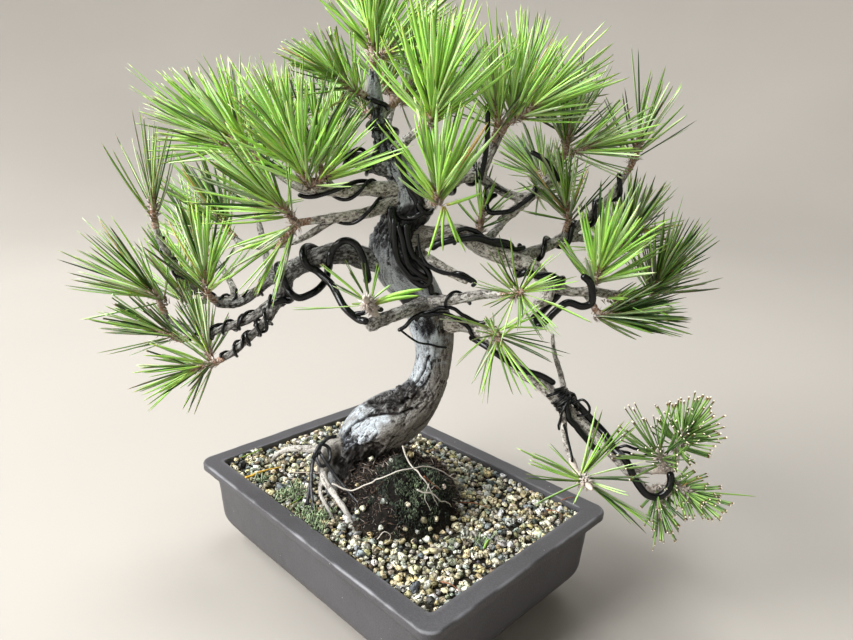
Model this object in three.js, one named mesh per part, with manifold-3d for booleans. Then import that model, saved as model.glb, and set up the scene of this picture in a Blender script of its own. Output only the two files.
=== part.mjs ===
// A Japanese black pine bonsai in a rectangular clay pot. Millimetres, +Z up.
// The pot's long side lies along X. The tree stands in a frame of its own, turned on the pot: its X
// runs along the tree's spread, and its -Y looks to the side from which the tree is seen.

import * as THREE from 'three';
import { mergeVertices } from 'three/addons/utils/BufferGeometryUtils.js';
import Module from 'manifold-3d';

const wasm = await Module();
wasm.setup();

// Driving dimensions
const POT_LENGTH = 240;
const POT_WIDTH = 168;
const POT_HEIGHT = 64;
const LIP_HEIGHT = 6;
const LIP_OVERHANG = 6;
const RIM_WIDTH = 12.5;
const FOOT_HEIGHT = 6;
const FOOT_LENGTH = 36;
const FOOT_WIDTH = 24;
const FOOT_INSET = 26;
const FLOOR_THICKNESS = 6;
const DRAIN_RADIUS = 8;
const DRAIN_PLACES = [-52, 48];
const SOIL_LEVEL = 60;
const PEBBLE_SIZE = 10.6;
const PEBBLE_RELIEF = 1.9;
const TREE_TURN = 44.7 * Math.PI / 180;
const NEEDLE_LENGTH = 52;
const THICK_WIRE = 2.1;
const MEDIUM_WIRE = 1.6;
const THIN_WIRE = 0.95;
const GAP = 0.35;

// Colours and finishes
const clay = new THREE.MeshStandardMaterial({ color: 0x5f5856, roughness: 0.75, metalness: 0 });
const gravel = new THREE.MeshStandardMaterial({ color: 0xa59a78, roughness: 0.95, metalness: 0 });
const bark = new THREE.MeshStandardMaterial({ color: 0x7c7268, roughness: 0.9, metalness: 0 });
const strap = new THREE.MeshStandardMaterial({ color: 0x16181c, roughness: 0.5, metalness: 0 });
const blackWire = new THREE.MeshStandardMaterial({ color: 0x0c0d10, roughness: 0.3, metalness: 0.6 });
const needleGreen = new THREE.MeshStandardMaterial({ color: 0x5f9a34, roughness: 0.5, metalness: 0 });

// Solids

function asSolid(geometry) {
  const bare = geometry.clone();
  bare.deleteAttribute('normal');
  bare.deleteAttribute('uv');
  const merged = mergeVertices(bare, 1e-3);
  return new wasm.Manifold(new wasm.Mesh({
    numProp: 3,
    vertProperties: new Float32Array(merged.attributes.position.array),
    triVerts: new Uint32Array(merged.index.array),
  }));
}

function asGeometry(solid) {
  const mesh = solid.getMesh();
  const geometry = new THREE.BufferGeometry();
  geometry.setAttribute('position', new THREE.BufferAttribute(new Float32Array(mesh.vertProperties), 3));
  geometry.setIndex(new THREE.BufferAttribute(new Uint32Array(mesh.triVerts), 1));
  return geometry;
}

// The largest body of a solid, without the crumbs that a cut may leave.
function mainBody(solid) {
  return solid.decompose().reduce((best, body) => (body.volume() > best.volume() ? body : best));
}

function named(name, geometry, material) {
  const flat = geometry.index ? geometry.toNonIndexed() : geometry;
  flat.computeVertexNormals();
  const mesh = new THREE.Mesh(flat, material);
  mesh.name = name;
  return mesh;
}

// A repeatable random draw between 0 and 1.
function seeded(seed) {
  let state = seed >>> 0;
  return () => {
    state = (state + 0x6d2b79f5) >>> 0;
    let t = state;
    t = Math.imul(t ^ (t >>> 15), t | 1);
    t ^= t + Math.imul(t ^ (t >>> 7), t | 61);
    return ((t ^ (t >>> 14)) >>> 0) / 4294967296;
  };
}

const vector = ([x, y, z]) => new THREE.Vector3(x, y, z);

// Stations along a smooth curve through [x, y, z, radius] points, each with its centre, its radius
// and two directions across the curve that don't twist from one station to the next.
function stationsAlong(points, spacing) {
  const curve = new THREE.CatmullRomCurve3(points.map(vector), false, 'centripetal');
  const steps = Math.max(1, Math.round(curve.getLength() / spacing));
  const stations = [];
  let across = null;
  for (let i = 0; i <= steps; i++) {
    const t = curve.getUtoTmapping(i / steps);
    const forward = curve.getTangent(t).normalize();
    if (!across) {
      across = Math.abs(forward.z) < 0.9 ? new THREE.Vector3(0, 0, 1) : new THREE.Vector3(1, 0, 0);
    }
    across = across.clone().addScaledVector(forward, -across.dot(forward)).normalize();
    const place = t * (points.length - 1);
    const before = Math.min(points.length - 2, Math.floor(place));
    const radius = THREE.MathUtils.lerp(points[before][3], points[before + 1][3], place - before);
    stations.push({
      centre: curve.getPoint(t),
      forward,
      across,
      side: new THREE.Vector3().crossVectors(across, forward),
      radius,
      along: i / steps,
    });
  }
  return stations;
}

// A limb is a closed cylinder laid along the stations. relief(angle, station) multiplies the radius,
// grow is added to it and to both ends, and flatness is the section's thickness over its width.
function limbGeometry(stations, sides, { relief = () => 1, grow = 0, flatness = 1 } = {}) {
  const steps = stations.length - 1;
  const geometry = new THREE.CylinderGeometry(1, 1, 1, sides, steps);
  const place = geometry.attributes.position;
  for (let i = 0; i < place.count; i++) {
    const x = place.getX(i);
    const z = place.getZ(i);
    const station = stations[Math.round((place.getY(i) + 0.5) * steps)];
    const reach = x === 0 && z === 0 ? 0 : station.radius * relief(Math.atan2(z, x), station) + grow;
    const atEnd = station === stations[0] ? -1 : Number(station === stations[steps]);
    const point = station.centre.clone()
      .addScaledVector(station.forward, atEnd * grow)
      .addScaledVector(station.across, x * reach * flatness)
      .addScaledVector(station.side, z * reach);
    place.setXYZ(i, point.x, point.y, point.z);
  }
  return geometry;
}

// Clearances

// The closest approach of two segments: [distance, place on the first, place on the second].
function closestApproach(a, b, c, d) {
  const u = b.clone().sub(a);
  const v = d.clone().sub(c);
  const w = a.clone().sub(c);
  const [uu, vv, uv, uw, vw] = [u.dot(u), v.dot(v), u.dot(v), u.dot(w), v.dot(w)];
  const spread = uu * vv - uv * uv;
  const clamp = (value) => THREE.MathUtils.clamp(value, 0, 1);
  let s = spread > 1e-9 ? clamp((uv * vw - vv * uw) / spread) : 0;
  const t = vv > 1e-9 ? clamp((uv * s + vw) / vv) : 0;
  s = uu > 1e-9 ? clamp((uv * t - uw) / uu) : 0;
  const between = w.addScaledVector(u, s).addScaledVector(v, -t);
  return [between.length(), s, t];
}

// A round, tapered bar from a to b, for testing what is near it.
function bar(a, b, startRadius, endRadius, owner) {
  return {
    a, b, startRadius, endRadius, owner,
    middle: a.clone().add(b).multiplyScalar(0.5),
    reach: a.distanceTo(b) / 2 + Math.max(startRadius, endRadius),
  };
}

function barsAlong(stations, owner, extra = 0) {
  return stations.slice(1).map((station, i) => bar(stations[i].centre, station.centre,
    stations[i].radius + extra, station.radius + extra, owner));
}

function barsTouch(one, other, gap) {
  if (one.middle.distanceTo(other.middle) > one.reach + other.reach + gap) return false;
  const [distance, s, t] = closestApproach(one.a, one.b, other.a, other.b);
  const radii = THREE.MathUtils.lerp(one.startRadius, one.endRadius, s)
    + THREE.MathUtils.lerp(other.startRadius, other.endRadius, t);
  return distance < radii + gap;
}

function evenlySpaced(points, spacing) {
  const curve = new THREE.CatmullRomCurve3(points, false, 'centripetal');
  return curve.getSpacedPoints(Math.round(curve.getLength() / spacing));
}

const SMOOTHING_ROUNDS = 46;
const CLEARING_ROUNDS = 14;
const SMOOTHING_SHARE = 0.12;

// A route moved sideways until a bar of this radius along it clears the obstacles. It is smoothed as
// it moves, but not in the last rounds.
function pushedClear(points, wireRadius, obstacles) {
  const moved = points.map((point) => point.clone());
  const probe = new THREE.Vector3();
  for (let round = 0; round < SMOOTHING_ROUNDS + CLEARING_ROUNDS; round++) {
    const smoothing = round < SMOOTHING_ROUNDS;
    for (let i = 0; i < moved.length; i++) {
      if (smoothing && i > 0 && i < moved.length - 1) {
        probe.copy(moved[i - 1]).add(moved[i + 1]).multiplyScalar(0.5);
        moved[i].lerp(probe, SMOOTHING_SHARE);
      }
      const next = moved[Math.min(i + 1, moved.length - 1)];
      for (const obstacle of obstacles) {
        for (const target of [moved[i], probe.copy(moved[i]).add(next).multiplyScalar(0.5)]) {
          if (target.distanceTo(obstacle.middle) > obstacle.reach + wireRadius + 1) continue;
          const [distance, , t] = closestApproach(target, target, obstacle.a, obstacle.b);
          const room = THREE.MathUtils.lerp(obstacle.startRadius, obstacle.endRadius, t) + wireRadius + GAP;
          if (distance >= room) continue;
          const foot = obstacle.a.clone().lerp(obstacle.b, t);
          const away = target.clone().sub(foot).normalize().multiplyScalar(room - distance);
          moved[i].add(away);
          if (target !== moved[i]) next.add(away.multiplyScalar(0.5));
        }
      }
    }
  }
  return moved;
}

// Pot: rounded-rectangle sections from the base up, joined ring to ring

const CORNER_POINTS = 5;

function ringPoints(inset, height, cornerRadius) {
  const points = [];
  const halfLength = POT_LENGTH / 2 - inset - cornerRadius;
  const halfWidth = POT_WIDTH / 2 - inset - cornerRadius;
  [[1, 1], [-1, 1], [-1, -1], [1, -1]].forEach(([sx, sy], quarter) => {
    for (let i = 0; i < CORNER_POINTS; i++) {
      const angle = (quarter + i / (CORNER_POINTS - 1)) * Math.PI / 2;
      points.push([sx * halfLength + cornerRadius * Math.cos(angle),
        sy * halfWidth + cornerRadius * Math.sin(angle), height]);
    }
  });
  return points;
}

// A closed solid through rings of [inset, height, corner radius].
function lofted(sections) {
  const rings = sections.map(([inset, height, cornerRadius]) => ringPoints(inset, height, cornerRadius));
  const count = rings[0].length;
  const positions = rings.flat(2);
  const index = [];
  for (let ring = 0; ring < rings.length - 1; ring++) {
    for (let i = 0; i < count; i++) {
      const a = ring * count + i;
      const b = ring * count + (i + 1) % count;
      index.push(a, b, b + count, a, b + count, a + count);
    }
  }
  const top = (rings.length - 1) * count;
  for (let i = 1; i < count - 1; i++) {
    index.push(0, i + 1, i);
    index.push(top, top + i, top + i + 1);
  }
  const geometry = new THREE.BufferGeometry();
  geometry.setAttribute('position', new THREE.BufferAttribute(new Float32Array(positions), 3));
  geometry.setIndex(index);
  return geometry;
}

// A quarter-round lower edge of a vessel whose wall stands at wallInset above it.
function roundedEdge(wallInset, radius, bottom, cornerRadius) {
  return [0, 0.3, 0.6, 1].map((part) => {
    const angle = part * Math.PI / 2;
    const inset = wallInset + radius * (1 - Math.sin(angle));
    return [inset, bottom + radius * (1 - Math.cos(angle)), cornerRadius];
  });
}

const WALL_TAPER = 2;
const WALL_INSET = LIP_OVERHANG + WALL_TAPER;
const OUTER_EDGE_RADIUS = 20;
const INNER_EDGE_RADIUS = 16;
const OUTER_CORNER = 12;
const LIP_CORNER = 9;
const INNER_CORNER = 4;
const CHAMFER = 0.9;

function cavitySections(grow) {
  return [
    ...roundedEdge(RIM_WIDTH + WALL_TAPER - grow, INNER_EDGE_RADIUS, FOOT_HEIGHT + FLOOR_THICKNESS - grow,
      INNER_CORNER + WALL_TAPER),
    [RIM_WIDTH - grow, POT_HEIGHT - CHAMFER, INNER_CORNER],
    [RIM_WIDTH - 2 * CHAMFER - grow, POT_HEIGHT + CHAMFER, INNER_CORNER + CHAMFER],
  ];
}

function potGeometry() {
  const outside = asSolid(lofted([
    ...roundedEdge(WALL_INSET, OUTER_EDGE_RADIUS, FOOT_HEIGHT, OUTER_CORNER),
    [LIP_OVERHANG, POT_HEIGHT - LIP_HEIGHT, OUTER_CORNER],
    [0, POT_HEIGHT - LIP_HEIGHT + 0.01, LIP_CORNER],
    [0, POT_HEIGHT - CHAMFER, LIP_CORNER],
    [CHAMFER, POT_HEIGHT, LIP_CORNER - CHAMFER],
  ]));
  const cavity = asSolid(lofted(cavitySections(0)));
  let pot = outside.subtract(cavity);
  for (const x of DRAIN_PLACES) {
    const drain = new THREE.CylinderGeometry(DRAIN_RADIUS, DRAIN_RADIUS, 4 * FLOOR_THICKNESS, 18);
    drain.rotateX(Math.PI / 2);
    drain.translate(x, 0, FOOT_HEIGHT);
    pot = pot.subtract(asSolid(drain));
  }
  const sunkHeight = FOOT_HEIGHT + FLOOR_THICKNESS / 2;
  for (const sx of [-1, 1]) {
    for (const sy of [-1, 1]) {
      const foot = new THREE.BoxGeometry(FOOT_LENGTH, FOOT_WIDTH, sunkHeight);
      foot.translate(sx * (POT_LENGTH / 2 - FOOT_INSET - FOOT_LENGTH / 2),
        sy * (POT_WIDTH / 2 - FOOT_INSET - FOOT_WIDTH / 2), sunkHeight / 2);
      pot = pot.add(asSolid(foot));
    }
  }
  return asGeometry(pot);
}

// Tree: each limb is a list of [x, y, z, radius] along its middle

const limbs = {
  trunk: [[-24, 6, 44, 19], [-25, 5, 77, 20], [-11, 2, 107, 20.5], [7, 0, 124, 15.5], [20, -1, 139, 12.5],
    [25, 0, 160, 12], [23, 2, 180, 13.5], [15, 5, 199, 13], [2, 5, 215, 15], [-3, 3, 232, 14],
    [3, 0, 247, 12.5], [9, -2, 258, 12], [7, 0, 269, 10], [-2, 2, 281, 8.2], [-8, 3, 295, 6.6],
    [-13, 4, 309, 5], [-15, 5, 324, 3.8], [-16, 5, 336, 2.4]],
  left_main: [[-3, 0, 221, 9], [-16, 0, 221, 8], [-28, -4, 225, 8], [-41, -8, 227, 7.3],
    [-54, -10, 222, 6.8], [-67, -8, 214, 6.2], [-71, -8, 203, 5.6], [-74, -10, 194, 4.8]],
  left_upper: [[-66, -8, 213, 4.4], [-79, -2, 208, 3.4], [-90, 2, 199, 2.9], [-102, 5, 190, 2.6],
    [-113, 0, 190, 2.4], [-116, -7, 196, 1.9]],
  left_low: [[-73, -10, 198, 4], [-81, -14, 184, 3], [-91, -18, 174, 2.6], [-101, -22, 165, 2.4],
    [-109, -21, 160, 1.9]],
  left_mid: [[-72, -9, 199, 4.2], [-92, -8, 184, 3], [-110, -6, 176, 2.6], [-124, -4, 170, 2.4],
    [-137, -3, 167, 1.9]],
  left_tip: [[-121, -4, 171, 2.4], [-138, 1, 174, 2.2], [-148, 1, 180, 2], [-151, 0, 187, 1.8]],
  left_back: [[-89, 2, 199, 3.2], [-108, 13, 190, 2.7], [-126, 16, 190, 2.5], [-139, 8, 206, 2.4],
    [-143, 0, 220, 2.3], [-148, -3, 233, 2.1], [-149, -4, 243, 1.8]],
  left_inner: [[-124, 16, 190, 2.3], [-131, 20, 186, 2], [-137, 19, 186, 1.8]],
  left_far: [[-107, 13, 190, 2.6], [-116, 34, 196, 2.3], [-128, 48, 206, 2.1], [-138, 56, 213, 1.8]],
  left_rear: [[-78, -2, 208, 3], [-88, 22, 218, 2.6], [-96, 42, 232, 2.3], [-101, 53, 241, 1.8]],
  cut_front: [[19, -6, 197, 5], [5, -22, 195, 4.2], [-5, -30, 193, 4.2], [-15, -37, 190, 4.2]],
  cut_twig: [[-8, -32, 194, 2.4], [-12, -37, 199, 1.8]],
  front_right: [[20, -6, 197, 4.4], [39, -20, 204, 3.4], [54, -27, 209, 3], [64, -35, 211, 2.2]],
  lower: [[24, 1, 181, 7], [47, -10, 184, 5], [60, -18, 179, 4.6], [80, -26, 160, 4.2], [91, -30, 154, 4],
    [106, -35, 142, 3.8], [116, -38, 133, 3.5], [136, -46, 115, 3], [151, -52, 101, 2.6],
    [158, -54, 96, 2]],
  lower_twig: [[59, -18, 180, 2.8], [61, -25, 184, 1.8]],
  lower_fork: [[104, -34, 144, 2.8], [105, -40, 134, 2.3], [107, -46, 121, 2.1], [111, -53, 111, 1.8]],
  lower_dry: [[107, -34, 144, 2.3], [103, -32, 160, 1.9], [98, -30, 174, 1.6], [96, -28, 186, 1.3]],
  lower_end: [[143, -49, 110, 2.4], [154, -53, 109, 2.1], [161, -54, 110, 1.8]],
  right_main: [[11, 0, 237, 8], [25, -6, 240, 5.8], [39, -8, 242, 5.4], [54, -8, 233, 5.4],
    [71, -8, 227, 5.2], [86, -10, 221, 5], [93, -14, 212, 4.4], [92, -18, 204, 3.6], [85, -21, 202, 2.6]],
  right_cut: [[13, -3, 227, 5], [23, -16, 225, 3.4], [34, -20, 220, 3], [44, -24, 216, 2.8]],
  right_rear: [[52, -8, 235, 4.4], [60, 14, 238, 3], [72, 36, 246, 2.4], [88, 54, 256, 1.8]],
  right_up: [[64, 7, 247, 3.2], [72, 9, 254, 3.4], [81, 10, 262, 3.4], [92, 12, 273, 3], [100, 14, 286, 2]],
  right_up_twig: [[79, 10, 260, 2.6], [88, 22, 265, 2.2], [92, 30, 268, 1.8]],
  right_far: [[71, -8, 227, 4.8], [92, 8, 231, 3.6], [107, 13, 239, 3.2], [125, 19, 253, 2.9],
    [138, 21, 268, 2.7], [145, 21, 281, 2]],
  right_far_twig: [[106, 13, 238, 2.6], [107, 10, 246, 1.8]],
  right_far_low: [[107, 13, 238, 3.2], [126, 22, 236, 2.6], [143, 28, 231, 1.9]],
  right_far_rear: [[125, 21, 236, 2.4], [136, 40, 232, 2.2], [147, 53, 228, 1.8]],
  right_low: [[91, -13, 214, 4.2], [108, -10, 208, 3.2], [122, -8, 208, 3], [144, 2, 204, 2.7],
    [161, 6, 206, 2]],
  right_low_twig: [[119, -8, 208, 2.6], [121, -13, 213, 1.8]],
  right_low_drop: [[118, -8, 208, 2.6], [124, -10, 199, 1.8]],
  upper_right: [[12, 0, 257, 7.4], [26, 8, 266, 5], [38, 10, 274, 4.4], [49, 12, 277, 4.2],
    [55, 12, 288, 3.6], [62, 11, 301, 2.2]],
  upper_right_bridge: [[48, 12, 276, 3.6], [63, 12, 267, 3], [74, 11, 263, 2.9], [83, 10, 264, 2.8]],
  upper_right_twig: [[55, 12, 289, 2.6], [58, 8, 300, 1.8]],
  upper_rear: [[36, 10, 273, 3.8], [46, 28, 284, 2.7], [60, 44, 300, 2.4], [76, 54, 316, 1.8]],
  upper_left: [[6, 0, 266, 7.4], [-16, -10, 267, 4], [-30, -16, 266, 3.6], [-44, -22, 267, 3.2],
    [-53, -26, 268, 2.9], [-66, -24, 275, 2.6], [-79, -21, 284, 1.9]],
  upper_left_fork: [[-64, -24, 274, 2.4], [-84, -8, 284, 2.2], [-96, 4, 287, 1.8]],
  upper_left_one: [[-44, -22, 267, 2.6], [-48, -28, 271, 1.8]],
  upper_left_two: [[-52, -26, 268, 2.6], [-55, -24, 275, 1.8]],
  upper_left_three: [[-36, -18, 266, 2.6], [-43, -12, 275, 1.8]],
  left_shoulder: [[3, -3, 262, 6], [-13, -14, 255, 3.6], [-27, -18, 252, 3.2], [-37, -22, 251, 2.9],
    [-52, -26, 249, 2]],
  left_hanging: [[-36, -22, 251, 2.6], [-57, -14, 237, 2.2], [-80, -2, 229, 2], [-100, 8, 229, 2],
    [-107, 12, 234, 1.8]],
  rear_knob: [[-3, 1, 279, 7], [-21, 6, 282, 5.5], [-30, 10, 284, 5], [-38, 14, 288, 4]],
  rear_knob_twig: [[-32, 11, 285, 2.8], [-36, 20, 295, 1.8]],
  rear_left: [[-36, 13, 286, 3.4], [-52, 30, 290, 2.6], [-67, 46, 291, 1.8]],
  apex_front: [[-17, 5, 318, 2.8], [-22, 0, 321, 1.8]],
  apex_right: [[-12, 4, 308, 3.2], [-4, 9, 316, 1.8]],
  apex_rear: [[-11, 4, 304, 3.4], [-18, 17, 309, 1.8]],
  apex_far: [[-9, 3, 299, 3.8], [-8, 22, 306, 2.7], [-7, 40, 314, 2.3], [-7, 48, 319, 1.8]],
  crown_front: [[-4, 2, 288, 4.6], [6, -12, 297, 2.8], [15, -27, 304, 1.8]],
  hub_front: [[9, -2, 258, 6], [18, -16, 260, 3.2], [22, -25, 262, 2]],
  root_knot: [[-30, 0, 90, 11], [-42, -6, 92, 6.5], [-46, -10, 88, 5], [-46, -15, 80, 4.2]],
  root_front: [[-46, -13, 82, 4], [-45, -20, 78, 3.4], [-36, -30, 71, 3], [-28, -40, 66, 2.7],
    [-20, -52, 58, 2.4], [-16, -58, 48, 1.8]],
  root_thin: [[-46, -15, 79, 2.8], [-47, -25, 71, 2.1], [-39, -37, 64, 1.9], [-32, -46, 54, 1.5]],
  root_left: [[-43, -2, 90, 5], [-54, 0, 89, 3.6], [-65, 3, 86, 3], [-75, 9, 79, 2.7], [-86, 20, 68, 2.3],
    [-95, 30, 55, 1.9]],
  root_back: [[-24, 14, 72, 12], [-22, 32, 62, 7], [-16, 50, 50, 3.5]],
  root_right: [[-14, 2, 74, 12], [6, 2, 62, 7.5], [22, 8, 48, 4]],
};

function sidesFor(radius) {
  if (radius > 15) return 12;
  if (radius > 6.5) return 7;
  return radius > 4 ? 6 : 5;
}

// Plated bark: shallow ridges that wind along the trunk, and a wider foot in five lobes.
function trunkRelief(angle, station) {
  const height = station.along;
  const ridges = 0.045 * Math.sin(5 * angle + 26 * height) + 0.03 * Math.sin(3 * angle - 41 * height);
  const foot = Math.max(0, 0.13 - height) * (1.6 + 1.1 * Math.sin(5 * angle + 1));
  return 1 + ridges + foot;
}

// Nodes on a branch: a slight swelling every few stations.
function branchRelief(angle, station) {
  return 1 + 0.07 * Math.sin(37 * station.along + 2 * angle);
}

const STOUT_RADIUS = 4.5;
const STOUT_SPACING = 11;
const SLIM_SPACING = 16;

const limbStations = {};
for (const [name, points] of Object.entries(limbs)) {
  const isStout = points[0][3] > STOUT_RADIUS;
  limbStations[name] = stationsAlong(points, isStout ? STOUT_SPACING : SLIM_SPACING);
}

function limbSolid(name, grow = 0) {
  const isTrunk = name === 'trunk';
  const geometry = limbGeometry(limbStations[name], sidesFor(limbs[name][0][3]), {
    relief: isTrunk ? trunkRelief : branchRelief,
    grow,
  });
  return asSolid(geometry);
}

const tree = new THREE.Group();
tree.rotation.z = TREE_TURN;
tree.updateMatrix();

// The relief stands out from a limb's round bars by this much.
const reliefOver = (name) => (name === 'trunk' ? 1.6 : 0.35);

const woodBars = Object.entries(limbStations).flatMap(([name, stations]) => (
  barsAlong(stations, name, reliefOver(name))));

// Root tie: a flat black strip over the root's knot, with three ends in the soil

const TIE_WIDTH = 3.4;
const TIE_FLATNESS = 0.5;
const tieStrips = [
  [[-43, -10, 103], [-50, -13, 97], [-53, -15, 88], [-54, -18, 77], [-55, -26, 64], [-55, -30, 54]],
  [[-50, -13, 97], [-53, -18, 86], [-53, -24, 76], [-51, -32, 64], [-50, -36, 54]],
  [[-50, -13, 97], [-45, -19, 92], [-36, -24, 82], [-23, -34, 70], [-10, -47, 64], [-6, -52, 58]],
];

function tieSolid(grow = 0) {
  const strips = tieStrips.map((points) => {
    const clear = pushedClear(evenlySpaced(points.map(vector), 7), TIE_WIDTH / 2, woodBars);
    const stations = stationsAlong(clear.map((point) => [...point.toArray(), TIE_WIDTH / 2]), 10);
    return asSolid(limbGeometry(stations, 6, { grow, flatness: TIE_FLATNESS }));
  });
  return wasm.Manifold.union(strips);
}

// What the soil leaves room for, in the pot's frame.
const sunkLimbs = ['trunk', 'root_knot', 'root_front', 'root_thin', 'root_left', 'root_back', 'root_right'];

function inPotFrame(solid) {
  return asSolid(asGeometry(solid).applyMatrix4(tree.matrix));
}

const rootRoom = inPotFrame(wasm.Manifold.union([
  ...sunkLimbs.map((name) => limbSolid(name, GAP + 0.1)),
  tieSolid(GAP),
]));

// Soil: a block whose top is a field of pebbles, each a seeded rise or dip of the grid, and which
// swells into a mound where it is packed against the trunk and its roots

const MOUND = { centre: new THREE.Vector3(4, -17, 0).applyMatrix4(tree.matrix), radius: 43, height: 34 };

function moundHeight(x, y) {
  const away = Math.hypot(x - MOUND.centre.x, y - MOUND.centre.y) / MOUND.radius;
  const lumps = 1 + 0.1 * Math.sin(x / 5) * Math.cos(y / 6);
  return away < 1 ? MOUND.height * lumps * (1 - away * away) ** 0.6 : 0;
}

function pebbleField() {
  const length = POT_LENGTH;
  const width = POT_WIDTH;
  const columns = Math.round(length / PEBBLE_SIZE);
  const rows = Math.round(width / PEBBLE_SIZE);
  const geometry = new THREE.BoxGeometry(length, width, SOIL_LEVEL, columns, rows, 1);
  const place = geometry.attributes.position;
  for (let i = 0; i < place.count; i++) {
    if (place.getZ(i) < 0) continue;
    const column = Math.round((place.getX(i) / length + 0.5) * columns);
    const row = Math.round((place.getY(i) / width + 0.5) * rows);
    if (column === 0 || row === 0 || column === columns || row === rows) continue;
    const draw = seeded(column * 131 + row * 7919 + 17);
    place.setXYZ(i,
      place.getX(i) + (draw() - 0.5) * PEBBLE_SIZE * 0.5,
      place.getY(i) + (draw() - 0.5) * PEBBLE_SIZE * 0.5,
      place.getZ(i) + (draw() - 0.5) * 2 * PEBBLE_RELIEF + moundHeight(place.getX(i), place.getY(i)));
  }
  geometry.translate(0, 0, SOIL_LEVEL / 2);
  return asSolid(geometry);
}

function soilGeometry() {
  const room = asSolid(lofted([
    ...cavitySections(-GAP),
    [RIM_WIDTH, POT_HEIGHT + MOUND.height, INNER_CORNER],
  ]));
  return asGeometry(mainBody(pebbleField().intersect(room).subtract(rootRoom)));
}

// Wires: each lies clear of the wood, and of the wires before it

const wireBars = [];

// A winding on a limb, from one share of its length to another, as a function of the wire's radius.
function around(limbName, from, to, turns, phase) {
  return (wireRadius) => {
    const stations = stationsAlong(limbs[limbName], 1.5);
    const first = Math.round(from * (stations.length - 1));
    const last = Math.round(to * (stations.length - 1));
    return stations.slice(first, last + 1).map((station, i) => {
      const angle = phase + 2 * Math.PI * turns * i / (last - first);
      const reach = station.radius + reliefOver(limbName) + wireRadius + GAP;
      return station.centre.clone()
        .addScaledVector(station.across, reach * Math.cos(angle))
        .addScaledVector(station.side, reach * Math.sin(angle));
    });
  };
}

// A free stretch of wire through a few points.
const through = (...points) => () => points.map(vector);

const wires = [
  {
    name: 'wire_left_main',
    radius: THICK_WIRE,
    route: [through([-12, -40, 193], [-21, -36, 195], [-30, -30, 202], [-38, -24, 211], [-42, -18, 220]),
      around('left_main', 0.5, 0.97, 3, 2.6)],
  },
  { name: 'wire_left_loop', radius: THICK_WIRE, route: [around('left_main', 0.1, 0.42, 1.4, 1)] },
  { name: 'wire_left_low', radius: THIN_WIRE, route: [around('left_low', 0.28, 0.94, 4, 1)] },
  { name: 'wire_left_mid', radius: THIN_WIRE, route: [around('left_mid', 0.3, 0.94, 4, 2)] },
  { name: 'wire_left_back', radius: THIN_WIRE, route: [around('left_back', 0.17, 0.9, 5, 0)] },
  {
    name: 'wire_hub',
    radius: THICK_WIRE,
    route: [through([0, -17, 287], [3, -18, 276], [8, -18, 267], [14, -20, 260], [16, -19, 252])],
  },
  {
    name: 'wire_trunk',
    radius: THICK_WIRE,
    step: 5,
    route: [through([-3, -15, 258], [-3, -19, 244], [-2, -18, 234], [2, -16, 223], [8, -16, 214],
      [16, -15, 206], [24, -14, 206], [27, -15, 213], [20, -18, 219], [12, -19, 223], [7, -19, 230],
      [5, -20, 239], [6, -19, 249])],
  },
  {
    name: 'wire_cut',
    radius: THIN_WIRE,
    route: [through([13, -20, 243], [12, -22, 231], [15, -24, 223], [22, -28, 220], [31, -31, 223],
      [39, -32, 224], [46, -31, 217])],
  },
  {
    name: 'wire_right_main',
    radius: THICK_WIRE,
    route: [around('right_main', 0.12, 0.74, 2, 2.6),
      through([80, -26, 203], [83, -29, 196], [92, -30, 196], [102, -28, 203], [112, -26, 206],
        [118, -24, 213], [116, -22, 220], [111, -20, 225])],
  },
  {
    name: 'wire_lower',
    radius: THICK_WIRE,
    route: [around('lower', 0.2, 0.72, 4, 1.2),
      through([131, -53, 116], [137, -56, 107], [143, -58, 99], [154, -60, 95], [163, -61, 98],
        [167, -60, 106], [167, -58, 113])],
  },
  { name: 'wire_right_far', radius: MEDIUM_WIRE, route: [around('right_far', 0.12, 0.95, 4, 0.5)] },
  {
    name: 'wire_upper_hook',
    radius: MEDIUM_WIRE,
    route: [through([52, 3, 318], [54, 4, 305], [55, 3, 292], [54, 3, 281], [50, 3, 273])],
  },
  {
    name: 'wire_right_hook',
    radius: MEDIUM_WIRE,
    route: [through([80, 6, 291], [90, 3, 290], [98, 3, 285], [102, 5, 279], [99, 6, 273])],
  },
];

const WIRE_STEP = 7.5;
const THIN_WIRE_STEP = 5.5;
const WIRE_SLACK = 0.2;

function wireMesh({ name, radius, route, step = radius > THIN_WIRE ? WIRE_STEP : THIN_WIRE_STEP }) {
  const wanted = evenlySpaced(route.flatMap((stretch) => stretch(radius)), step);
  const clear = pushedClear(wanted, radius + WIRE_SLACK, [...woodBars, ...wireBars]);
  const stations = stationsAlong(clear.map((point) => [...point.toArray(), radius]), step);
  wireBars.push(...barsAlong(stations, name));
  return named(name, limbGeometry(stations, radius > THIN_WIRE ? 5 : 4), blackWire);
}

// Needle sprays: a slim core whose small faces are each drawn out into one three-sided needle

const STEM_RADIUS = 1.15;
const CORE_RADIUS = 1.5;
const CORE_TAPER = 0.08;
const CORE_SIDES = 5;
const CORE_RINGS = 3;
const RING_SPACING = 3;
const CORE_LENGTH = CORE_RINGS * RING_SPACING;
const SHORTEST_SHARE = 0.82;

// A shoot: where its needles start, which way it points, needle length, how far the needles lean
// from the shoot's axis at its rear and at its tip (degrees), and the share of faces that bear one.
function shoot(at, towards, length = 1, rear = 62, tip = 12, share = 0.86) {
  const direction = vector(towards).normalize();
  return { at: vector(at), towards: direction, length: length * NEEDLE_LENGTH, rear, tip, share };
}

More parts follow.
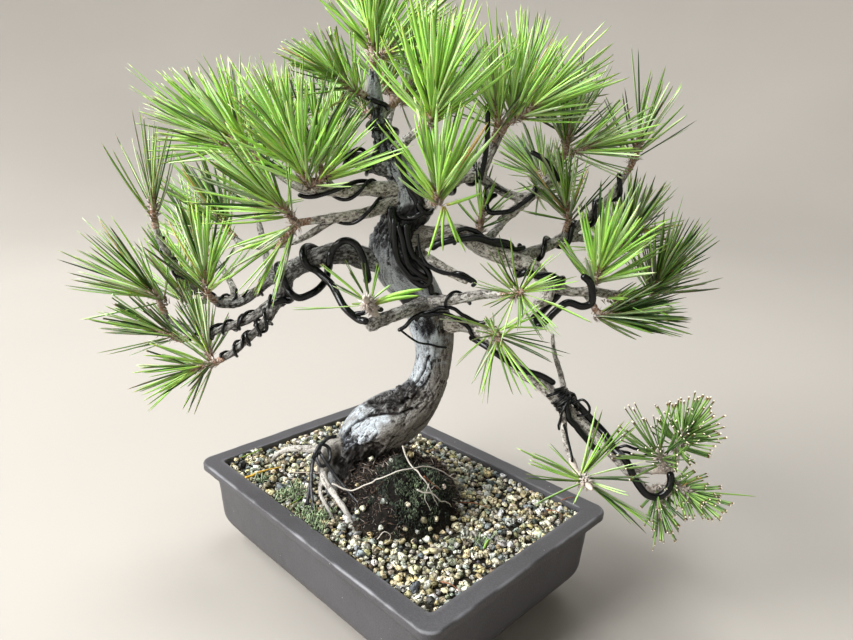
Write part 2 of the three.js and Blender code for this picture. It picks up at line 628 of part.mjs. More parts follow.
const sprays = [
  ['spray_left_low', 'left_low', shoot([-117, -24, 157], [-0.8, -0.25, -0.1], 0.68, 78, 20),
    shoot([-119, -13, 165], [-0.35, 0.4, 0.85], 0.72)],
  ['spray_left_mid', 'left_mid', shoot([-145, -4, 170], [-0.9, -0.1, 0.4], 0.72, 50, 10)],
  ['spray_left_tip', 'left_tip', shoot([-153, 0, 194], [-0.75, -0.1, 0.65], 1.05)],
  ['spray_left_front', 'left_upper', shoot([-117, -13, 206], [0.02, -0.2, 1], 0.86, 58)],
  ['spray_left_inner', 'left_inner', shoot([-143, 17, 191], [-0.2, 0.2, 0.95], 0.9)],
  ['spray_left_high', 'left_back', shoot([-149, -5, 250], [-0.02, -0.05, 1], 1.08, 52, 8, 0.62)],
  ['spray_left_far', 'left_far', shoot([-146, 62, 218], [-0.5, 0.5, 0.7], 0.9)],
  ['spray_left_rear', 'left_rear', shoot([-105, 60, 249], [-0.3, 0.6, 0.75], 0.9)],
  ['spray_left_hanging', 'left_hanging', shoot([-112, 14, 241], [-0.6, 0.2, 0.8], 0.95)],
  ['spray_shoulder', 'left_shoulder', shoot([-63, -31, 256], [-0.75, -0.2, 0.62], 1),
    shoot([-60, -30, 244], [-0.6, -0.3, -0.75], 0.8, 50, 15, 0.35)],
  ['spray_upper_left', 'upper_left', shoot([-86, -20, 289], [-0.72, -0.15, 0.7], 1)],
  ['spray_upper_left_far', 'upper_left_fork', shoot([-108, 5, 291], [-0.85, -0.1, 0.45], 0.92),
    shoot([-101, 18, 293], [-0.2, 0.4, 0.93], 0.95)],
  ['spray_upper_one', 'upper_left_one', shoot([-51, -33, 276], [-0.15, -0.4, 0.93], 1.04),
    shoot([-43, -33, 273], [0.7, -0.35, 0.6], 0.95, 55, 12, 0.7)],
  ['spray_upper_two', 'upper_left_two', shoot([-58, -23, 283], [-0.45, -0.1, 0.9], 1.04)],
  ['spray_upper_three', 'upper_left_three', shoot([-47, -9, 284], [0.08, 0.1, 1], 1)],
  ['spray_rear_knob', 'rear_knob_twig', shoot([-40, 27, 303], [-0.25, 0.5, 0.85], 0.92)],
  ['spray_rear_left', 'rear_left', shoot([-77, 56, 298], [-0.3, 0.5, 0.8], 0.95),
    shoot([-81, 54, 286], [-0.8, 0.55, 0.15], 0.92)],
  ['spray_apex', 'trunk', shoot([-17, 6, 350], [-0.05, 0, 1], 0.9),
    shoot([-8, -1, 344], [0.85, -0.2, 0.5], 0.95)],
  ['spray_apex_front', 'apex_front', shoot([-29, -5, 325], [-0.75, -0.35, 0.6], 0.7)],
  ['spray_apex_right', 'apex_right', shoot([4, 12, 323], [0.5, 0.3, 0.82], 0.95)],
  ['spray_apex_rear', 'apex_rear', shoot([-23, 26, 313], [-0.4, 0.85, 0.45], 0.9)],
  ['spray_apex_far', 'apex_far', shoot([-12, 54, 330], [-0.2, 0.25, 0.95], 0.92),
    shoot([0, 59, 320], [0.35, 0.85, 0.35], 0.92)],
  ['spray_crown_front', 'crown_front', shoot([20, -36, 311], [0.1, -0.3, 1], 1.08, 55)],
  ['spray_hub_front', 'hub_front', shoot([24, -32, 267], [-0.05, -0.4, 1], 1.08, 55)],
  ['spray_right_high', 'upper_right_twig', shoot([59, 5, 309], [-0.3, -0.15, 0.95], 1)],
  ['spray_right_crown', 'upper_right', shoot([69, 14, 314], [0.22, 0.12, 0.97], 1.04),
    shoot([75, 4, 313], [0.78, -0.2, 0.6], 0.98)],
  ['spray_right_crown_rear', 'upper_rear', shoot([82, 60, 328], [0.1, 0.4, 0.92], 0.95),
    shoot([88, 60, 318], [0.8, 0.55, 0.3], 0.92)],
  ['spray_right_up', 'right_up', shoot([104, 19, 299], [0.15, 0.35, 0.92], 0.95),
    shoot([109, 9, 292], [0.88, -0.25, 0.35], 0.82)],
  ['spray_right_up_rear', 'right_up_twig', shoot([94, 38, 273], [-0.4, 0.7, 0.55], 0.88)],
  ['spray_right_rear', 'right_rear', shoot([97, 61, 262], [0.4, 0.75, 0.5], 0.9)],
  ['spray_right_far_high', 'right_far', shoot([148, 20, 292], [0.2, -0.05, 0.97], 1, 66, 10, 0.6)],
  ['spray_right_far_twig', 'right_far_twig', shoot([106, 6, 254], [-0.4, -0.3, 0.85], 0.85)],
  ['spray_right_far_low', 'right_far_low', shoot([151, 31, 232], [0.35, 0.25, 0.9], 0.84)],
  ['spray_right_far_rear', 'right_far_rear', shoot([158, 62, 233], [0.6, 0.5, 0.6], 0.9),
    shoot([146, 63, 223], [0.1, 0.9, 0.4], 0.88)],
  ['spray_right_front', 'right_low_twig', shoot([122, -17, 219], [0.15, -0.35, 0.95], 0.95)],
  ['spray_right_drop', 'right_low_drop', shoot([131, -12, 194], [0.95, -0.15, 0.02], 0.92)],
  ['spray_right_tip', 'right_low', shoot([170, 6, 210], [0.7, -0.08, 0.7], 1, 68)],
  ['spray_front_right', 'front_right', shoot([71, -42, 214], [0.08, -0.93, 0.3], 0.88, 84, 38)],
  ['spray_lower_twig', 'lower_twig', shoot([61, -33, 187], [0.12, -0.95, -0.05], 0.9, 80, 36)],
  ['spray_cut_front', 'cut_twig', shoot([-15, -42, 204], [-0.15, -0.8, 0.5], 0.78, 80, 30, 0.5)],
  ['spray_lower_fork', 'lower_fork', shoot([115, -60, 106], [0.15, -0.9, 0.1], 0.95, 88, 45, 0.5)],
  ['spray_lower_high', 'lower_end', shoot([171, -56, 126], [0.35, -0.45, 0.85], 0.55, 86, 20),
    shoot([161, -57, 119], [-0.6, -0.45, 0.65], 0.58, 72, 15, 0.8)],
  ['spray_lower_end', 'lower', shoot([172, -57, 101], [0.9, -0.35, 0], 0.6, 80, 20),
    shoot([162, -58, 86], [0.1, -0.3, -0.95], 0.52, 66, 18, 0.8)],
];

// The shoot's core: two stations of a plain stem that leaves the twig's end, and the straight rings
// that bear needles. A second shoot's stem is slimmer, and starts inside the first one's.
function coreStations(limbName, { at, towards }, rank) {
  const end = limbStations[limbName].at(-1);
  const leave = end.centre.clone().addScaledVector(end.forward, GAP + 0.05 + 0.6 * rank);
  const halfway = leave.clone().lerp(at, 0.55);
  const stations = [
    { centre: leave, forward: end.forward, radius: STEM_RADIUS - 0.15 * rank },
    { centre: halfway, forward: at.clone().sub(leave).normalize(), radius: STEM_RADIUS - 0.15 * rank },
  ];
  for (let ring = 0; ring <= CORE_RINGS; ring++) {
    const centre = at.clone().addScaledVector(towards, ring * RING_SPACING);
    stations.push({ centre, forward: towards, radius: CORE_RADIUS - CORE_TAPER * ring });
  }
  const turn = new THREE.Quaternion();
  let across = end.across;
  let last = end.forward;
  return stations.map((station) => {
    across = across.clone().applyQuaternion(turn.setFromUnitVectors(last, station.forward));
    last = station.forward;
    return { ...station, across, side: new THREE.Vector3().crossVectors(across, station.forward) };
  });
}

const needleBars = [];
const coreBars = [];

// Needles keep this far above the pot's rim, and above the surface that the pot stands on.
const RIM_CLEARANCE = 3;
const FLOOR_CLEARANCE = 4;

function staysOffPot(base, tip) {
  const point = new THREE.Vector3();
  for (let share = 0.1; share <= 1; share += 0.1) {
    point.copy(base).lerp(tip, share).applyMatrix4(tree.matrix);
    const overPot = Math.abs(point.x) < POT_LENGTH / 2 + 2 && Math.abs(point.y) < POT_WIDTH / 2 + 2;
    const lowest = overPot ? POT_HEIGHT + RIM_CLEARANCE : FLOOR_CLEARANCE;
    if (point.z < lowest) return false;
  }
  return true;
}

const LENGTH_SHARES = [1, 0.86, 0.72, 0.58, 0.45, 0.33, 0.22];

// The longest needle that clears everything and its own stem, or undefined.
function needleFrom(base, direction, length, owner, obstacles, stem) {
  const lengths = LENGTH_SHARES.map((share) => share * length);
  const tips = lengths.map((each) => base.clone().addScaledVector(direction, each));
  const start = base.clone().addScaledVector(direction, 1.2);
  const line = bar(start, tips[0], 0.3, 0.05, owner);
  if (stem.some((each) => barsTouch(line, each, 0))) return undefined;
  return tips.filter((tip) => staysOffPot(base, tip))
    .map((tip) => ({ tip, room: bar(start, tip, CORE_RADIUS, 0.05, owner) }))
    .find(({ room }) => !obstacles.some((obstacle) => barsTouch(room, obstacle, GAP - 0.05)));
}

// Each triangle of the core's bearing part gives way to the three long faces of a needle. A needle
// leans out by an angle that falls smoothly from the core's rear to its tip, so no two cross.
function shootGeometry(stations, growth, owner, obstacles, draw) {
  const faces = limbGeometry(stations, CORE_SIDES).toNonIndexed().attributes.position;
  const positions = [];
  const root = stations[2];
  const stem = barsAlong(stations.slice(0, 3), owner);
  for (let face = 0; face < faces.count; face += 3) {
    const [a, b, c] = [0, 1, 2].map((i) => new THREE.Vector3().fromBufferAttribute(faces, face + i));
    const base = a.clone().add(b).add(c).divideScalar(3);
    const outward = base.clone().sub(root.centre);
    const along = outward.dot(root.forward);
    outward.addScaledVector(root.forward, -along).normalize();
    const isFlat = b.clone().sub(a).cross(c.clone().sub(a)).length() < 0.05;
    let needle;
    if (along > 0.2 && !isFlat && draw() < growth.share) {
      const share = Math.min(1, along / CORE_LENGTH);
      const isTip = share > 0.985;
      const lean = THREE.MathUtils.lerp(growth.rear, isTip ? growth.tip / 2 : growth.tip, share);
      const direction = root.forward.clone().applyAxisAngle(
        root.forward.clone().cross(outward).normalize(), THREE.MathUtils.degToRad(lean));
      const length = growth.length * (SHORTEST_SHARE + (1 - SHORTEST_SHARE) * draw());
      needle = needleFrom(base, direction, length, owner, obstacles, stem);
    }
    if (needle) {
      needleBars.push(needle.room);
      positions.push(a, b, needle.tip, b, c, needle.tip, c, a, needle.tip);
    } else {
      positions.push(a, b, c);
    }
  }
  return new THREE.BufferGeometry().setFromPoints(positions);
}

const sprayCores = sprays.map(([name, limbName, ...shoots]) => shoots.map((growth, rank) => {
  const stations = coreStations(limbName, growth, rank);
  coreBars.push(...barsAlong(stations, name, 0.1));
  return stations;
}));

function sprayMesh([name, limbName, ...shoots], cores, number) {
  const draw = seeded(4001 + number * 97);
  const others = [...woodBars, ...wireBars, ...coreBars]
    .filter(({ owner }) => owner !== limbName && owner !== name);
  const solids = shoots.map((growth, i) => {
    const span = growth.length + 2 * CORE_LENGTH;
    const near = [...others, ...needleBars]
      .filter(({ middle, reach }) => middle.distanceTo(growth.at) < reach + span);
    return asSolid(shootGeometry(cores[i], growth, name, near, draw));
  });
  return named(name, asGeometry(mainBody(wasm.Manifold.union(solids))), needleGreen);
}

// Assembly

const bonsai = new THREE.Group();
bonsai.add(named('pot', potGeometry(), clay));
bonsai.add(named('soil', soilGeometry(), gravel));

const wood = wasm.Manifold.union(Object.keys(limbs).map((name) => limbSolid(name)));
tree.add(named('tree_wood', asGeometry(mainBody(wood)), bark));
tree.add(named('root_tie', asGeometry(mainBody(tieSolid())), strap));
wires.forEach((wire) => tree.add(wireMesh(wire)));
sprays.forEach((spray, number) => tree.add(sprayMesh(spray, sprayCores[number], number)));
bonsai.add(tree);

// The origin is the middle of the whole object's box, on the surface that the pot stands on.
bonsai.updateMatrixWorld(true);
const extent = new THREE.Box3().setFromObject(bonsai, true);
const { x, y } = extent.getCenter(new THREE.Vector3());
bonsai.children.forEach((child) => child.position.sub(new THREE.Vector3(x, y, 0)));

export default bonsai;
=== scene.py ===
"""A Japanese black pine bonsai with wired branches, growing in gravel in a rectangular clay pot.

Blender 4.5. Every shape is worked out in millimetres, and becomes metres when its mesh is made.
The tree is measured in a frame of its own: its X runs along the tree's spread, its -Y looks to the
side from which the tree is seen, and its origin lies under the middle of the pot.
"""

import bpy
import numpy as np
from mathutils import Matrix, Vector


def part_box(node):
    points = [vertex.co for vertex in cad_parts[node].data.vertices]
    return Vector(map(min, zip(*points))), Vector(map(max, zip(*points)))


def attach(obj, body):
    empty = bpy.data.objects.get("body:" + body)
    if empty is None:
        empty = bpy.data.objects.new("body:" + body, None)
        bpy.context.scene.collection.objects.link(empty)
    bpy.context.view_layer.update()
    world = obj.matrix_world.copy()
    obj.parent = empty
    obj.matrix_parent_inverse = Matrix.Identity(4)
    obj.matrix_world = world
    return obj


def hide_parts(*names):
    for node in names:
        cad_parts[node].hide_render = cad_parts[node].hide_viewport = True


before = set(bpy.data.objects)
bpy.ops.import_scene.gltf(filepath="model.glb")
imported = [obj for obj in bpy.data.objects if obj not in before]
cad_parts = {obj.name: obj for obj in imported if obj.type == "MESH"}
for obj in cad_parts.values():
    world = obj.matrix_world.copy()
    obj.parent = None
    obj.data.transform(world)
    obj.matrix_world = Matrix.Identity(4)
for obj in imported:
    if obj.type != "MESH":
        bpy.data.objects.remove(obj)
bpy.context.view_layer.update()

# Driving dimensions, in mm: the pot's box is the frame's
POT_LOW, POT_HIGH = (np.array(corner) * 1000 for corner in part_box("pot"))
POT_MIDDLE = (POT_LOW + POT_HIGH) / 2 * [1, 1, 0]
POT_LENGTH, POT_WIDTH = (POT_HIGH - POT_LOW)[:2]
TREE_TURN = np.radians(44.7)
TREE_AXES = np.array([
    [np.cos(TREE_TURN), np.sin(TREE_TURN), 0],
    [-np.sin(TREE_TURN), np.cos(TREE_TURN), 0],
    [0, 0, 1],
])
FOOT_HEIGHT = 6
POT_FLOOR = 12
LIP_UNDER = 58
LIP_TOP = 64
LIP_CORNER = 9
RIM_WIDTH = 12.5
FOOT_PLACES = [(x, y, 0) for x in (-76, 76) for y in (-46, 46)]
DRAIN_PLACES = ((-52, 0), (48, 0))
DRAIN_RADIUS = 8
SOIL_LEVEL = 60
NEEDLE_LENGTH = 52
CAMERA_PLACE = np.array([300.64, -275.92, 306.37])
CAMERA_RIGHT = np.array([0.71098, 0.70321, 0])
CAMERA_PITCH, CAMERA_ROLL = np.radians([16.74, 1.707])


def in_row(points):
    """Points of the tree's frame, in the row's frame."""
    return np.asarray(points, float) @ TREE_AXES + POT_MIDDLE


def on_pot(spots):
    """Level [x, y] spots of the tree's frame, turned to the pot's sides."""
    return (np.column_stack([spots, np.zeros(len(spots))]) @ TREE_AXES)[:, :2]


# Draws and noise


def draws(cells, seed=0):
    """A repeatable number from 0 to 1 for each whole-number cell: its places are multiplied by large
    odd numbers and added, and the bits of the sum are mixed."""
    cells = np.asarray(cells).astype(np.int64)
    mixed = (cells * np.array([73856093, 19349663, 83492791])).sum(-1) + seed * 2654435761
    for shift, factor in ((15, 2246822519), (13, 3266489917)):
        mixed = ((mixed ^ (mixed >> shift)) * factor) & 0xFFFFFFFF
    return (mixed ^ (mixed >> 16)) / 4294967296


def smoothly(low, high, value):
    """0 below low, 1 above high, and 3t² - 2t³ between them."""
    t = np.clip((value - low) / (high - low), 0, 1)
    return t * t * (3 - 2 * t)


def soft_noise(points, seed=0):
    """Noise from -1 to 1 with one lump for each unit of length: the draws of the eight corners round
    a point, weighed by 3t² - 2t³ along each axis."""
    cell = np.floor(points)
    t = smoothly(0, 1, points - cell)
    total = 0
    for corner in np.ndindex(2, 2, 2):
        weight = np.prod(np.where(corner, t, 1 - t), axis=-1)
        total = total + weight * draws(cell + corner, seed)
    return 2 * total - 1


def rough_noise(points, octaves=3, seed=0):
    """Soft noise with finer noise on it, each layer half the size and half the strength of the last."""
    return sum(soft_noise(points * 2.0 ** k, seed + k) / 2.0 ** k for k in range(octaves))


def plates(points, seed=0):
    """Cells round scattered middles: how much further a point's second nearest middle is than its
    nearest, which is 0 on the line between two cells, and a draw for each cell."""
    cell = np.floor(points)
    near = np.full(len(points), 9.0)
    second = near.copy()
    which = np.zeros(len(points))
    for step in np.ndindex(3, 3, 3):
        here = cell + step - 1
        middle = here + np.stack([draws(here, seed + k) for k in range(3)], -1)
        distance = np.linalg.norm(points - middle, axis=-1)
        closer = distance < near
        second = np.where(closer, near, np.minimum(second, distance))
        which = np.where(closer, draws(here, seed + 3), which)
        near = np.minimum(near, distance)
    return second - near, which


def three_noises(points, seed, octaves=1):
    """Three noises side by side, to move points with."""
    return np.stack([rough_noise(points, octaves, seed + k) for k in range(3)], -1)


# Paths, grids and meshes


def unit(vectors):
    """Vectors made one long."""
    return vectors / np.linalg.norm(vectors, axis=-1, keepdims=True)


def smooth_path(points, spacing):
    """A centripetal Catmull-Rom curve through the points, at even steps of its length. Between two
    points it is a cubic, whose slope at each weighs the two neighbours by the roots of their
    distances. A fourth column, such as a radius, is carried along."""
    p = np.asarray(points, float)
    ends = np.vstack([2 * p[0] - p[1], p, 2 * p[-1] - p[-2]])
    root = np.linalg.norm(np.diff(ends[:, :3], axis=0), axis=1)[:, None] ** 0.5
    x0, x1, x2, x3 = ends[:-3], ends[1:-2], ends[2:-1], ends[3:]
    d0, d1, d2 = root[:-2], root[1:-1], root[2:]
    leave = ((x1 - x0) / d0 - (x2 - x0) / (d0 + d1) + (x2 - x1) / d1) * d1
    arrive = ((x2 - x1) / d1 - (x3 - x1) / (d1 + d2) + (x3 - x2) / d2) * d1
    t = np.linspace(0, 1, 24, endpoint=False)[:, None, None]
    dense = (x1 + t * leave + t ** 2 * (3 * x2 - 3 * x1 - 2 * leave - arrive)
             + t ** 3 * (2 * x1 - 2 * x2 + leave + arrive))
    dense = np.vstack([dense.transpose(1, 0, 2).reshape(-1, p.shape[1]), p[-1:]])
    steps = np.linalg.norm(np.diff(dense[:, :3], axis=0), axis=1)
    arc = np.concatenate([[0], np.cumsum(steps)])
    even = np.linspace(0, arc[-1], max(3, round(arc[-1] / spacing) + 1))
    return np.stack([np.interp(even, arc, column) for column in dense.T], axis=1)


def with_radius(points, radius):
    """Points with the same radius as a fourth column."""
    return np.column_stack([points, np.full(len(points), radius)])


def carried_frames(path):
    """The direction of a path at each station, and two directions across it that don't twist: each is
    the one before, made square to the path again."""
    forward = unit(np.gradient(path[:, :3], axis=0))
    across = np.empty_like(forward)
    last = np.array([0, 0, 1.0]) if abs(forward[0, 2]) < 0.9 else np.array([1.0, 0, 0])
    for station, direction in enumerate(forward):
        last = unit(last - direction * (last @ direction))
        across[station] = last
    return forward, across, np.cross(across, forward)


def lattice(rows, columns):
    """The four-cornered faces of a grid of points whose last column joins its first."""
    first = np.arange(rows * columns).reshape(rows, columns)
    after = np.roll(first, -1, axis=1)
    return np.stack([first[:-1], first[1:], after[1:], after[:-1]], -1).reshape(-1, 4)


def fan(middle, ring):
    """Three-cornered faces from the sides of a ring to one middle point."""
    return np.stack([np.full(len(ring), middle), ring, np.roll(ring, -1)], -1)


def around(angle, across, side):
    """Ways out at these angles: cos a · across + sin a · side."""
    return np.cos(angle)[:, None] * across + np.sin(angle)[:, None] * side


def capped(grid, middles=None):
    """A grid of rings, closed with a fan to a middle point at its first ring and at its last."""
    rows, columns, _ = grid.shape
    count = rows * columns
    middles = [grid[0].mean(0), grid[-1].mean(0)] if middles is None else middles
    points = np.vstack([grid.reshape(-1, 3), middles])
    last = np.arange(count - columns, count)
    caps = np.vstack([fan(count, np.arange(columns)), fan(count + 1, last[::-1])])
    return points, [lattice(rows, columns), caps]


def tube(path, sides, relief=None):
    """A closed tube round [x, y, z, radius] stations: a ring's points are centre + radius · relief ·
    (cos a · across + sin a · side), with a middle point at each end. relief is a function of the
    angle a and of the share s of the length."""
    _, across, side = carried_frames(path)
    angle = np.linspace(0, 2 * np.pi, sides, endpoint=False)
    share = np.linspace(0, 1, len(path))[:, None]
    reach = path[:, 3:4] * (np.ones((1, sides)) if relief is None else relief(angle, share))
    ring = around(angle, across[:, None], side[:, None])
    return capped(path[:, None, :3] + reach[..., None] * ring, path[[0, -1], :3])


def round_ended(path, spacing=0.4):
    """The path with both its ends drawn in to a dome: r · (1 - cos t) from an end, its radius is
    r · sin t."""
    steps = np.concatenate([[0], np.cumsum(np.linalg.norm(np.diff(path[:, :3], axis=0), axis=1))])
    length = steps[-1]
    turn = np.linspace(0.15, 1, 4) * np.pi / 2
    dome = np.sin(turn)
    near = (1 - np.cos(turn)) * path[0, 3]
    body = steps[(steps > near[-1] + spacing) & (steps < length - near[-1] - spacing)]
    places = np.concatenate([near, body, length - near[::-1]])
    drawn = np.stack([np.interp(places, steps, column) for column in path.T], axis=1)
    drawn[:4, 3] *= dome
    drawn[-4:, 3] *= dome[::-1]
    return drawn


def joined(parts):
    """Several (points, faces) as one: each later part's corners are counted on from the last part's."""
    points, faces, count = [], [], 0
    for part_points, part_faces in parts:
        points.append(part_points)
        faces += [each + count for each in part_faces]
        count += len(part_points)
    return np.vstack(points), faces


def repeated(faces, copies, points_each):
    """The faces of one shape, counted on for each of its copies."""
    steps = np.arange(copies)[:, None, None] * points_each
    return (faces[None] + steps).reshape(-1, faces.shape[1])


def make_mesh(name, points, faces):
    """A smooth-shaded mesh from points in mm and from arrays of faces, each with one corner count."""
    corners = np.concatenate([each.ravel() for each in faces])
    counts = np.concatenate([np.full(len(each), each.shape[1]) for each in faces])
    mesh = bpy.data.meshes.new(name)
    mesh.vertices.add(len(points))
    mesh.vertices.foreach_set("co", (points / 1000).astype(np.float32).ravel())
    mesh.loops.add(len(corners))
    mesh.loops.foreach_set("vertex_index", corners.astype(np.int32))
    mesh.polygons.add(len(counts))
    starts = np.concatenate([[0], np.cumsum(counts)[:-1]])
    mesh.polygons.foreach_set("loop_start", starts.astype(np.int32))
    mesh.polygons.foreach_set("use_smooth", np.ones(len(counts), bool))
    mesh.update(calc_edges=True)
    return mesh


def in_scene(name, data):
    """A new object with this data, in the scene."""
    made = bpy.data.objects.new(name, data)
    bpy.context.scene.collection.objects.link(made)
    return made


def make_piece(name, points, faces, material, looks=None, replaces=(), straight_places=None):
    """A piece of the object that rides on its one body. looks holds up to four numbers for each
    point, which its material reads, from 0 to 1; straight_places holds each point's place in mm as if
    its limb were straight."""
    mesh = make_mesh(name, points, faces)
    if looks is not None:
        filled = np.zeros((len(points), 4), np.float32)
        filled[:, :looks.shape[1]] = looks
        attribute = mesh.attributes.new("looks", "FLOAT_COLOR", "POINT")
        attribute.data.foreach_set("color", filled.ravel())
    if straight_places is not None:
        attribute = mesh.attributes.new("straight", "FLOAT_VECTOR", "POINT")
        attribute.data.foreach_set("vector", (straight_places / 1000).astype(np.float32).ravel())
    mesh.materials.append(material)
    piece = in_scene(name, mesh)
    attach(piece, "root")
    if replaces:
        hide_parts(*replaces)


# Materials


def colour(red, green, blue):
    """A colour as the eye's 0 to 255, turned into the linear light that shaders count in."""
    share = np.array([red, green, blue]) / 255
    linear = np.where(share < 0.04045, share / 12.92, ((share + 0.055) / 1.055) ** 2.4)
    return (*linear, 1)


def node(tree, kind, inputs=None, **settings):
    """A shader node with its settings; each input is a value, or another node's output."""
    made = tree.nodes.new("ShaderNode" + kind)
    for name, value in settings.items():
        setattr(made, name, value)
    for socket, value in (inputs or {}).items():
        if isinstance(value, bpy.types.NodeSocket):
            tree.links.new(value, made.inputs[socket])
        else:
            made.inputs[socket].default_value = value
    return made


def new_material(name, **sockets):
    """A material with these values on its shader: (material, its tree, object coordinates)."""
    material = bpy.data.materials.new(name)
    material.use_nodes = True
    tree = material.node_tree
    for socket, value in sockets.items():
        tree.nodes["Principled BSDF"].inputs[socket.replace("_", " ")].default_value = value
    return material, tree, node(tree, "TexCoord").outputs["Object"]


def noise(tree, place, size, detail=3, roughness=0.55):
    """Noise from 0 to 1 whose lumps are about size mm."""
    inputs = {"Vector": place, "Scale": 1000 / size, "Detail": detail, "Roughness": roughness}
    return node(tree, "TexNoise", inputs).outputs["Fac"]


def ramp(tree, factor, *stops):
    """A ramp that passes through its stops as factor goes from 0 to 1. A stop is (place, red, green,
    blue), a colour as the eye's, or (place, level), a share."""
    made = node(tree, "ValToRGB", {"Fac": factor})
    elements = made.color_ramp.elements
    for place, *_ in stops[2:]:
        elements.new(place)
    for element, (place, *stop) in zip(elements, stops):
        element.position = place
        element.color = colour(*stop) if len(stop) == 3 else (*stop * 3, 1)
    return made.outputs["Color"]


def blend(tree, factor, first, second):
    """The first colour where factor is 0, and the second where it is 1."""
    return node(tree, "Mix", {0: factor, 6: first, 7: second}, data_type="RGBA").outputs[2]


def maths(tree, how, first, second):
    """One sum on two values or outputs, such as ADD."""
    return node(tree, "Math", {0: first, 1: second}, operation=how).outputs[0]


def times(tree, first, second):
    """The first times the second."""
    return maths(tree, "MULTIPLY", first, second)


def swung(tree, body, factor, reach):
    """The body with reach times (factor - ½) added."""
    return maths(tree, "ADD", body, times(tree, maths(tree, "SUBTRACT", factor, 0.5), reach))


def held(tree, name):
    """What the piece's mesh holds for each of its points under this name."""
    return node(tree, "Attribute", attribute_name=name, attribute_type="GEOMETRY")


def looks_of(tree):
    """The four numbers that a piece holds for each of its points."""
    attribute = held(tree, "looks")
    split = node(tree, "SeparateColor", {0: attribute.outputs["Color"]})
    return (*split.outputs, attribute.outputs["Alpha"])


def to_shader(tree, socket, value):
    """A node's output linked to a socket of the material's shader."""
    tree.links.new(value, tree.nodes["Principled BSDF"].inputs[socket])


def bumped(tree, height, depth, strength=1.0):
    """The surface raised by height times depth mm."""
    inputs = {"Height": height, "Distance": depth / 1000, "Strength": strength}
    to_shader(tree, "Normal", node(tree, "Bump", inputs).outputs["Normal"])


def between(tree, value, low, high):
    """Low where value is 0, and high where it is 1."""
    return node(tree, "MapRange", {"Value": value, "To Min": low, "To Max": high}).outputs[0]


def painted(material, body):
    """The material with this colour on its shader."""
    to_shader(material.node_tree, "Base Color", body)
    return material


def clay_material():
    """Grey-brown stoneware: fine grain, faint clouds, white specks, a lip paler at its edges from wear and
    painted highlight, painted shade under the lip, and darker towards the foot.
    """
    material, tree, place = new_material("clay", Roughness=0.5, Specular_IOR_Level=0.42)
    wear_and_highlight, dark_and_shade, _, _ = looks_of(tree)
    clouds = noise(tree, place, 45, 4)
    body = ramp(tree, clouds, (0.3, 60, 59, 62), (0.7, 75, 74, 78))
    grain = noise(tree, place, 0.9, 2)
    body = blend(tree, 0.35, body, ramp(tree, grain, (0.35, 42, 40, 41), (0.65, 82, 80, 81)))
    # Paler lip edges: wear and painted highlight on the outer edge, painted highlight on the inner one.
    body = blend(tree, wear_and_highlight, body, colour(126, 127, 131))
    # Painted shade under the lip, and darker towards the foot.
    body = blend(tree, dark_and_shade, body, colour(40, 32, 28))
    spots = node(tree, "TexVoronoi", {"Vector": place, "Scale": 260}).outputs["Distance"]
    chosen = noise(tree, place, 7, 1)
    near_one = maths(tree, "LESS_THAN", spots, 0.11)
    speck = times(tree, near_one, maths(tree, "GREATER_THAN", chosen, 0.66))
    body = blend(tree, speck, body, colour(150, 147, 142))
    bumped(tree, grain, 0.12, 0.6)
    return painted(material, body)


def bark_material():
    """Bark: dark cracks, grey-brown plates and pale flakes, from the relief that the mesh holds, with
    painted shade in the trunk's crevices and hollow, at its foot and on its hub, and painted light on
    its side turned to the key light.
    """
    material, tree, place = new_material("bark", Roughness=0.85, Specular_IOR_Level=0.25)
    # The mesh's four numbers: the bark's height, low in cracks, crevices and the knot's hollow as painted
    # shade; silver paleness, with painted light on the trunk's lit side; painted shade; and the paleness of
    # young bark.
    height, pale, dark_and_shade, root = looks_of(tree)
    fine = noise(tree, place, 0.8, 5, 0.75)
    along_limb = held(tree, "straight").outputs["Vector"]
    drawn_out = node(tree, "VectorMath", {0: along_limb, 1: (0.2, 1, 1)}, operation="MULTIPLY").outputs[0]
    streaks = noise(tree, drawn_out, 0.9, 5, 0.7)
    rise = swung(tree, swung(tree, height, fine, 1.25), streaks, 0.8)
    body = ramp(tree, rise, (0.06, 20, 17, 15), (0.32, 62, 57, 52), (0.6, 102, 97, 90), (0.95, 152, 148, 142))
    silver = ramp(tree, rise, (0.08, 30, 30, 33), (0.32, 104, 108, 114), (0.56, 160, 167, 173),
                  (0.9, 206, 214, 221))
    # Silver bark, with painted light on the trunk's side turned to the key light.
    body = blend(tree, pale, body, silver)
    young = ramp(tree, rise, (0.05, 54, 47, 41), (0.26, 150, 143, 134), (0.62, 214, 209, 201))
    body = blend(tree, root, body, young)
    strayed = node(tree, "TexNoise", {"Vector": place, "Scale": 160, "Detail": 3}).outputs["Color"]
    moved = {0: strayed, 1: (0.005, 0.005, 0.005), 2: drawn_out}
    warped = node(tree, "VectorMath", moved, operation="MULTIPLY_ADD")
    cells = node(tree, "TexVoronoi", {"Vector": warped.outputs[0], "Scale": 230}, feature="DISTANCE_TO_EDGE")
    lines = ramp(tree, cells.outputs["Distance"], (0.015, 0.65), (0.06, 0))
    patches = ramp(tree, noise(tree, place, 7, 3), (0.5, 0), (0.6, 1))
    old = maths(tree, "SUBTRACT", 1.0, times(tree, root, 0.65))
    cracked = times(tree, times(tree, lines, patches), old)
    body = blend(tree, cracked, body, colour(34, 29, 27))
    specks = noise(tree, place, 1.1, 3, 0.7)
    body = blend(tree, ramp(tree, specks, (0.34, 0.7), (0.44, 0)), body, colour(50, 46, 44))
    # Painted shade: near-black where the third number is high.
    body = blend(tree, dark_and_shade, body, colour(22, 18, 17))
    bumped(tree, maths(tree, "SUBTRACT", maths(tree, "ADD", fine, streaks), cracked), 0.7)
    return painted(material, body)


